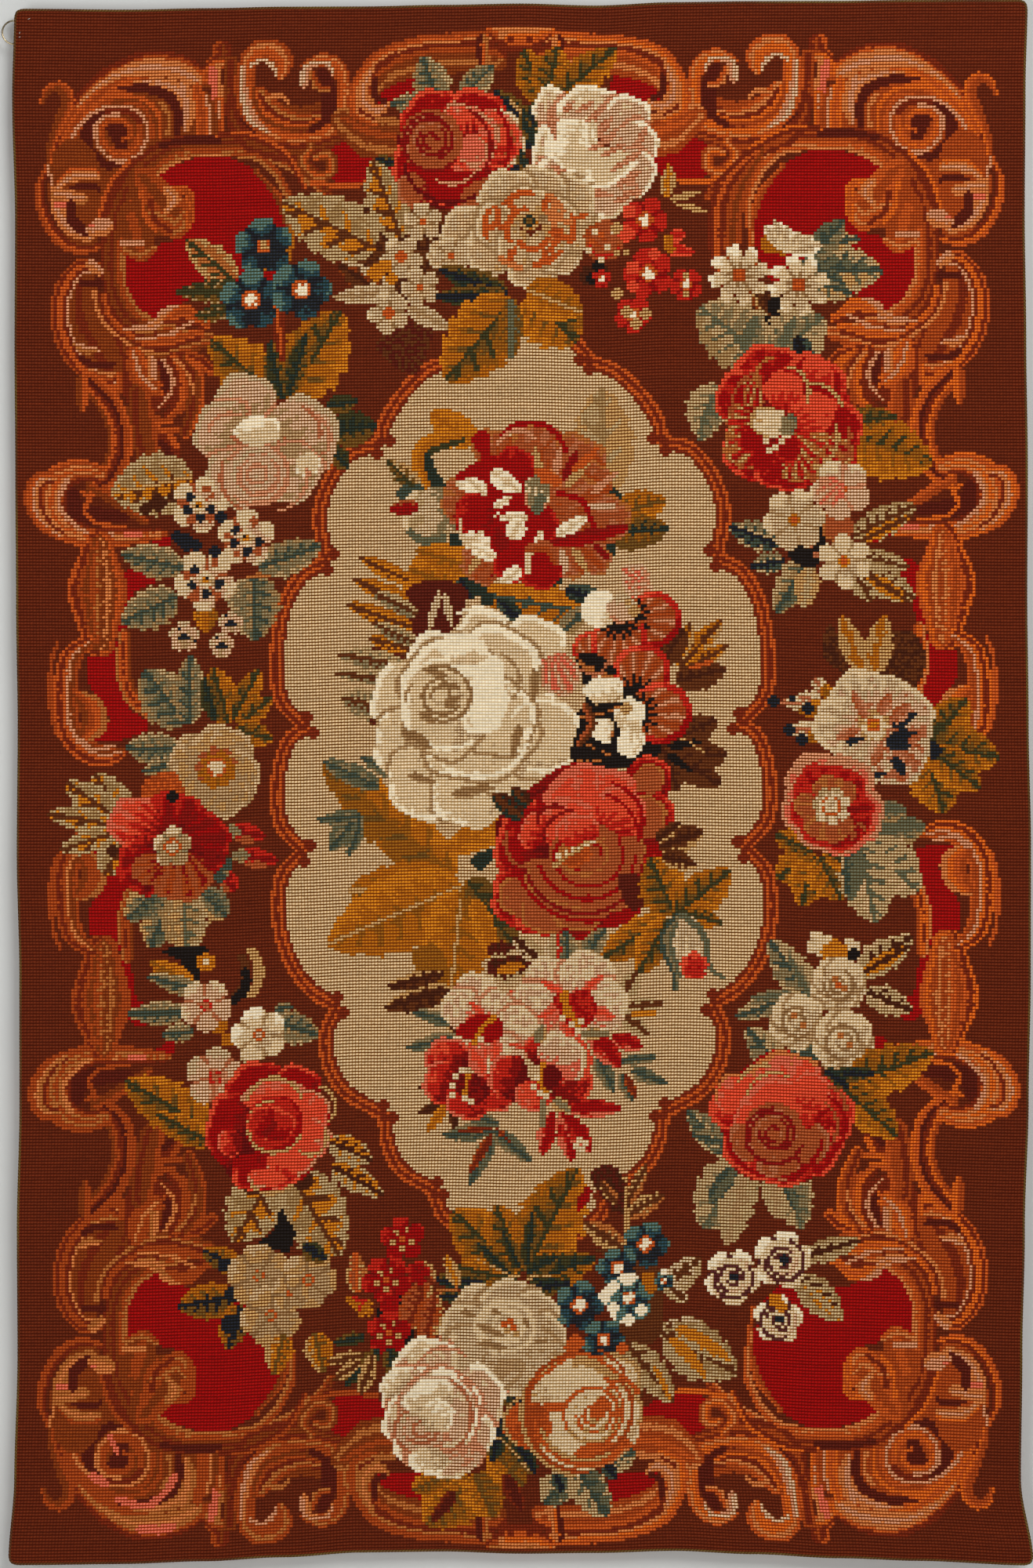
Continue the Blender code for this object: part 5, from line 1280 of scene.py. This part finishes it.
# the dye: uneven from stitch to stitch, and along a row where one length of yarn was used up
cell = link_nodes(yarn, "ShaderNodeVectorMath", {0: given["Count"]}, operation="FLOOR").outputs[0]
dip = link_nodes(yarn, "ShaderNodeTexWhiteNoise", {"Vector": cell}, noise_dimensions="2D").outputs["Value"]
drawn_out = {0: cell, 1: (0.03, 1.0, 1.0)}
rows = link_nodes(yarn, "ShaderNodeVectorMath", drawn_out, operation="MULTIPLY").outputs[0]
rows = arithmetic(yarn, "MULTIPLY_ADD", noise(yarn, rows, 0.7, 2.0), 0.34, 0.78)
tone = arithmetic(yarn, "MULTIPLY_ADD", dip, 0.14, rows)
lit = link_nodes(yarn, "ShaderNodeVectorMath", {0: given["Wool"], 3: tone}, operation="SCALE").outputs[0]
# the painted shade: the dyed wool multiplied towards deep brown in the gaps, part shade and part the canvas
# between rows
deep = link_nodes(yarn, "ShaderNodeValToRGB", {0: gap_shade_share})
deep.color_ramp.elements[0].color = (1, 1, 1, 1)
deep.color_ramp.elements[1].color = (0.12, 0.04, 0.005, 1)
deep.color_ramp.elements.new(0.5).color = (0.56, 0.42, 0.22, 1)
deep = mixed(yarn, 1.0, lit, deep.outputs[0], "MULTIPLY")
# a painted sheen: a little light added on the crowns, where the gaps' painted shade is least
crown_sheen = mixed(yarn, 1.0, deep, (0.004, 0.003, 0.003, 1), "ADD")
yarn.links.new(mixed(yarn, gap_shade_share, crown_sheen, deep), made["Colour"])


def wool_material(name, wool, lean, gap_shade, bead, height):
    """Wool: its colour is the dyed attribute of that name, or a mix of two colours along the piece."""
    stuff, tree, shader = plain_material(name)
    shader.inputs["Roughness"].default_value = 1.0
    shader.inputs["Specular IOR Level"].default_value = 0.1
    counted = link_nodes(tree, "ShaderNodeAttribute", attribute_name="stitch_count").outputs["Vector"]
    if isinstance(wool, str):
        dyed = link_nodes(tree, "ShaderNodeAttribute", attribute_name=wool).outputs["Color"]
    else:
        places = link_nodes(tree, "ShaderNodeTexCoord").outputs["Object"]
        patch = ranged(tree, noise(tree, places, 9.0, 3.0), 0.42, 0.58)
        dyed = mixed(tree, patch, wool[0], wool[1])
    laid = link_nodes(tree, "ShaderNodeGroup", node_tree=yarn)
    # the stitches' lean, the strength of the painted shade in the gaps, and the beads
    for socket, value in (("Lean", lean), ("Gap Shade", gap_shade), ("Bead", bead)):
        laid.inputs[socket].default_value = value
    tree.links.new(counted, laid.inputs["Count"])
    tree.links.new(dyed, laid.inputs["Wool"])
    tree.links.new(laid.outputs["Colour"], shader.inputs["Base Color"])
    raised = {"Height": laid.outputs["Height"], "Strength": 0.7, "Distance": height}
    tree.links.new(link_nodes(tree, "ShaderNodeBump", raised).outputs[0], shader.inputs["Normal"])
    return stuff


# The back of the canvas: each stitch shows there as a short upright bar of its wool, and the colours
# are the face's, turned over. This is the sheet that everything else is worked on.
EDGE_INSET = 0.0012
FACE_WIDTH, FACE_LENGTH = WIDTH - 2 * EDGE_INSET, LENGTH - 2 * EDGE_INSET
BACK_ROWS = 247

canvas, column, row = counted_grid("canvas_back", COLUMNS, BACK_ROWS)
across = -(column / COLUMNS - 0.5)
places = hung(across * FACE_WIDTH, EDGE_INSET + row / BACK_ROWS * FACE_LENGTH, -THICKNESS / 2)
set_places(canvas.data, places, np.stack([row * 2, column], axis=-1))
seen = COLUMNS - 1 - face_corners(canvas.data, column).min(axis=1).astype(int)
below = face_corners(canvas.data, row).min(axis=1).astype(int) * 2
dye(canvas.data, chart[below, seen])
bake_map(canvas.data, column / COLUMNS, row / BACK_ROWS, folds=1)
canvas.data.materials.append(wool_material("wool_ends", "wool", lean=0.0, gap_shade=0.75, bead=0.5, height=0.0006))
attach(canvas, "root")
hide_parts("embroidery")


# The stitched face: 322 stitches across and 495 down, in seven strips of 46 columns. Each row of stitches
# stands up as a ridge of wool, with a groove between it and the next row that the yarn's look darkens with
# painted shade.
STRIPS = 7
STRIP_COLUMNS = COLUMNS // STRIPS
GROOVE, RIDGE, UNLIKE = 0.0012, 0.0020, 0.00006

wool_face = wool_material("wool_cross_stitch", "wool", lean=0.2, gap_shade=1.0, bead=0.62, height=0.0008)
plump_stitches = draw.normal(0, UNLIKE, (2 * ROWS + 1, COLUMNS + 1))
for strip in range(STRIPS):
    piece, column, row = counted_grid(f"stitching_{strip + 1}", STRIP_COLUMNS, 2 * ROWS)
    whole = column + strip * STRIP_COLUMNS
    proud = np.where(row % 2 == 1, RIDGE, GROOVE) + plump_stitches[row.astype(int), whole.astype(int)]
    across, drop = (whole / COLUMNS - 0.5) * FACE_WIDTH, EDGE_INSET + row / (2 * ROWS) * FACE_LENGTH
    set_places(piece.data, hung(across, drop, proud), np.stack([whole, row / 2], axis=-1))
    stitch_column = face_corners(piece.data, whole).min(axis=1).astype(int)
    stitch_row = face_corners(piece.data, row).min(axis=1).astype(int) // 2
    dye(piece.data, chart[stitch_row, stitch_column])
    bake_map(piece.data, column / STRIP_COLUMNS, row / (2 * ROWS), folds=3)
    piece.data.materials.append(wool_face)
    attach(piece, "root")
    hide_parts("embroidery")


# The turned edge: the rim of the canvas is folded back and overcast with brown wool, one slanted
# stitch after another, all the way round.
EDGE_OUT, EDGE_DEEP = 0.0015, 0.0022
EDGE_STITCHES, EDGE_SIDES = 1632, 6
WRAP, SLANT, STEP = math.radians(230), 0.0012, 0.002
FAT, THIN = 1.12, 0.94
SAME_PLACE = 0.00005

edging, column, row = counted_grid("overcast_edge", 2 * EDGE_STITCHES, EDGE_SIDES)
run = column / (2 * EDGE_STITCHES) * 2 * (FACE_WIDTH + FACE_LENGTH)
knots = np.cumsum([0, FACE_WIDTH, FACE_LENGTH, FACE_WIDTH, FACE_LENGTH])


def rim(run):
    """The places along the rim, clockwise from the top left corner."""
    run = run % knots[-1]
    half = FACE_WIDTH / 2
    across = np.interp(run, knots, (-half, half, half, -half, -half))
    drop = np.interp(run, knots, (0, 0, FACE_LENGTH, FACE_LENGTH, 0))
    return hung(across, drop + EDGE_INSET, np.zeros(len(run)))


turn = (row / EDGE_SIDES - 0.5) * WRAP
leaning = run + SLANT * turn
ahead = rim(leaning + STEP) - rim(leaning - STEP)
ahead /= np.linalg.norm(ahead, axis=1)[:, None]
outward = np.stack([-ahead[:, 2], np.zeros(len(run)), ahead[:, 0]], axis=-1)
swollen = np.where(column % 2 == 1, FAT, THIN)[:, None]
section = outward * (EDGE_OUT * np.cos(turn))[:, None]
section[:, 1] += EDGE_DEEP * np.sin(turn)
counted = np.stack([row / EDGE_SIDES * 2, column / 2], axis=-1)
set_places(edging.data, rim(leaning) + section * swollen, counted)
bake_map(edging.data, row / EDGE_SIDES, column / (2 * EDGE_STITCHES), folds=16)
closing = bmesh.new()
closing.from_mesh(edging.data)
bmesh.ops.remove_doubles(closing, verts=closing.verts, dist=SAME_PLACE)
bmesh.ops.recalc_face_normals(closing, faces=closing.faces)
closing.to_mesh(edging.data)
closing.free()
BROWNS = ((0.150, 0.085, 0.020, 1), (0.110, 0.038, 0.012, 1))
edge_wool = wool_material("overcast_wool", BROWNS, lean=0.0, gap_shade=0.6, bead=0.2, height=0.0006)
edging.data.materials.append(edge_wool)
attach(edging, "root")


# The hanging ring: plated wire bent round and closed, 22.4 mm across, flat against the back at the
# top left corner, half of it past the cloth's edge.
RING_OUTER, RING_WIRE, RING_CLEARANCE = 0.0224, 0.0016, 0.0003
RING_CENTRE = Vector((-0.4534, THICKNESS / 2 + RING_CLEARANCE + RING_WIRE / 2, -0.0250))


def piece_from(bm, name, stuff):
    """Makes the finished piece of a bmesh."""
    mesh = bpy.data.meshes.new(name)
    bm.to_mesh(mesh)
    bm.free()
    mesh.shade_smooth()
    mesh.materials.append(stuff)
    piece = bpy.data.objects.new(name, mesh)
    bpy.context.scene.collection.objects.link(piece)
    return piece


wire, tree, shader = plain_material("plated_wire")
dulled = noise(tree, link_nodes(tree, "ShaderNodeTexCoord").outputs["Object"], 260.0, 3.0)
BRIGHT, TARNISHED = (0.52, 0.43, 0.27, 1), (0.16, 0.11, 0.06, 1)
tarnish = mixed(tree, ranged(tree, dulled, 0.45, 0.7), BRIGHT, TARNISHED)
tree.links.new(tarnish, shader.inputs["Base Color"])
tree.links.new(arithmetic(tree, "MULTIPLY_ADD", dulled, 0.3, 0.12), shader.inputs["Roughness"])
shader.inputs["Metallic"].default_value = 1.0

bent = bmesh.new()
rod = bmesh.ops.create_circle(bent, segments=16, radius=RING_WIRE / 2)["verts"]
bmesh.ops.translate(bent, verts=rod, vec=((RING_OUTER - RING_WIRE) / 2, 0, 0))
bmesh.ops.spin(bent, geom=bent.verts[:] + bent.edges[:], cent=(0, 0, 0), axis=(0, 1, 0), dvec=(0, 0, 0),
               angle=math.tau, steps=72, use_merge=True)
bmesh.ops.recalc_face_normals(bent, faces=bent.faces)
bmesh.ops.translate(bent, verts=bent.verts, vec=RING_CENTRE)
ring = piece_from(bent, "ring", wire)
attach(ring, "root")
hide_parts("hanging_ring")


# The sewing thread: white cotton, a few turns over the wire on the back, whose ends show on the face
# as three tiny stitches.
THREAD, OFF_THE_WOOL = 0.0005, 0.0006
RING_TURNS = (-44, -26, 8, 30)
# each stitch's place across and down, its length, and the angle that it lies at
FRONT_STITCHES = (
    (-0.4393, -0.0135, 0.0021, 0.5),
    (-0.4478, -0.0262, 0.0016, 1.2),
    (-0.4476, -0.0298, 0.0014, 0.2),
)

cotton, tree, shader = plain_material("white_cotton")
shader.inputs["Roughness"].default_value = 0.8
places = link_nodes(tree, "ShaderNodeTexCoord").outputs["Object"]
spun = {"Vector": places, "Scale": 900.0, "Distortion": 1.0}
plies = link_nodes(tree, "ShaderNodeTexWave", spun).outputs["Fac"]
tree.links.new(mixed(tree, plies, (0.55, 0.52, 0.45, 1), (0.86, 0.84, 0.78, 1)), shader.inputs["Base Color"])
bump = link_nodes(tree, "ShaderNodeBump", {"Height": plies, "Strength": 0.5, "Distance": 0.0001})
tree.links.new(bump.outputs[0], shader.inputs["Normal"])


def thread_turn(bm, centre, radius, axis, start, sweep):
    """A turn of thread about a centre: its round section spun about the axis through part of a circle."""
    out = Vector(start).normalized()
    section = bmesh.ops.create_circle(bm, segments=8, radius=THREAD / 2)["verts"]
    facing = Vector((0, 0, 1)).rotation_difference(Vector(axis).cross(out))
    bmesh.ops.rotate(bm, verts=section, cent=(0, 0, 0), matrix=facing.to_matrix())
    bmesh.ops.translate(bm, verts=section, vec=Vector(centre) + out * radius)
    rim_edges = list({edge for vert in section for edge in vert.link_edges})
    bmesh.ops.spin(bm, geom=section + rim_edges, cent=centre, axis=axis, dvec=(0, 0, 0),
                   angle=sweep, steps=12, use_merge=sweep == math.tau)


sewn = bmesh.new()
for degrees in RING_TURNS:
    angle = math.radians(degrees)
    out = Vector((math.cos(angle), 0, math.sin(angle)))
    along = Vector((-math.sin(angle), 0, math.cos(angle)))
    place = RING_CENTRE + out * (RING_OUTER - RING_WIRE) / 2
    thread_turn(sewn, place, RING_WIRE / 2 + THREAD / 2, along, out, math.tau)
for x, z, length, angle in FRONT_STITCHES:
    lie = Vector((math.cos(angle), 0, math.sin(angle)))
    place = (x, -RIDGE - OFF_THE_WOOL, z)
    thread_turn(sewn, place, length / 2, lie.cross(Vector((0, -1, 0))), -lie, math.pi)
bmesh.ops.recalc_face_normals(sewn, faces=sewn.faces)
sewing = piece_from(sewn, "sewing_thread", cotton)
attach(sewing, "root")


# The room: a pale wall just behind the cloth, a pale floor, and soft lamps in front of both. The
# wall shows only from its front, so that the back of the cloth can be looked at.
WALL_GAP, FLOOR_HEIGHT = 0.016, -1.85


def backdrop(name, colour, corner_low, corner_high, one_sided):
    """A flat pale panel between two corners; a one-sided one can't be seen from behind."""
    flat = bmesh.new()
    bmesh.ops.create_grid(flat, x_segments=1, y_segments=1, size=0.5)
    low, high = Vector(corner_low), Vector(corner_high)
    for vert in flat.verts:
        share_x, share_y = vert.co.x + 0.5, vert.co.y + 0.5
        vert.co = [low[axis] + (high[axis] - low[axis]) * share
                   for axis, share in enumerate((share_x, share_y, share_y))]
    paint, tree, shader = plain_material(name)
    shader.inputs["Base Color"].default_value = colour
    shader.inputs["Roughness"].default_value = 1.0
    if one_sided:
        seen_from = link_nodes(tree, "ShaderNodeNewGeometry").outputs["Backfacing"]
        clear = link_nodes(tree, "ShaderNodeBsdfTransparent").outputs[0]
        both = link_nodes(tree, "ShaderNodeMixShader", {0: seen_from, 1: shader.outputs[0], 2: clear})
        tree.links.new(both.outputs[0], tree.nodes["Material Output"].inputs[0])
    panel = piece_from(flat, name, paint)
    panel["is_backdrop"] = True
    return panel


wall = backdrop("wall", (0.645, 0.655, 0.635, 1), (-5, WALL_GAP, FLOOR_HEIGHT), (5, WALL_GAP, 3), True)
wall.visible_shadow = wall.visible_diffuse = False
backdrop("floor", (0.62, 0.61, 0.60, 1), (-5, -6, FLOOR_HEIGHT), (5, 5, FLOOR_HEIGHT), False)


def soft_lamp(name, place, aim, size, watts):
    """A square lamp of a size and a power, turned towards a place."""
    lamp = bpy.data.objects.new(name, bpy.data.lights.new(name, "AREA"))
    lamp.data.size, lamp.data.energy = size, watts
    lamp.location = place
    lamp.rotation_euler = (Vector(aim) - Vector(place)).to_track_quat("-Z", "Y").to_euler()
    bpy.context.scene.collection.objects.link(lamp)


CLOTH_MIDDLE = (0, 0, -0.7)
soft_lamp("key_lamp", (1.3, -3.1, 1.4), CLOTH_MIDDLE, size=1.8, watts=92)
soft_lamp("fill_lamp", (-1.8, -3.2, -1.4), CLOTH_MIDDLE, size=1.6, watts=50)
soft_lamp("back_lamp", (0.8, 3.2, 1.2), CLOTH_MIDDLE, size=1.6, watts=60)

world = bpy.data.worlds.new("pale_room")
world.use_nodes = True
world.node_tree.nodes["Background"].inputs["Color"].default_value = (0.9, 0.91, 0.93, 1)
world.node_tree.nodes["Background"].inputs["Strength"].default_value = 0.22
bpy.context.scene.world = world
bpy.context.scene.view_settings.view_transform = "Standard"

boxes = {"cad_box": cad_box, "visual_box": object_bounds()}
boxes = {name: [[float(value) for value in corner] for corner in box] for name, box in boxes.items()}
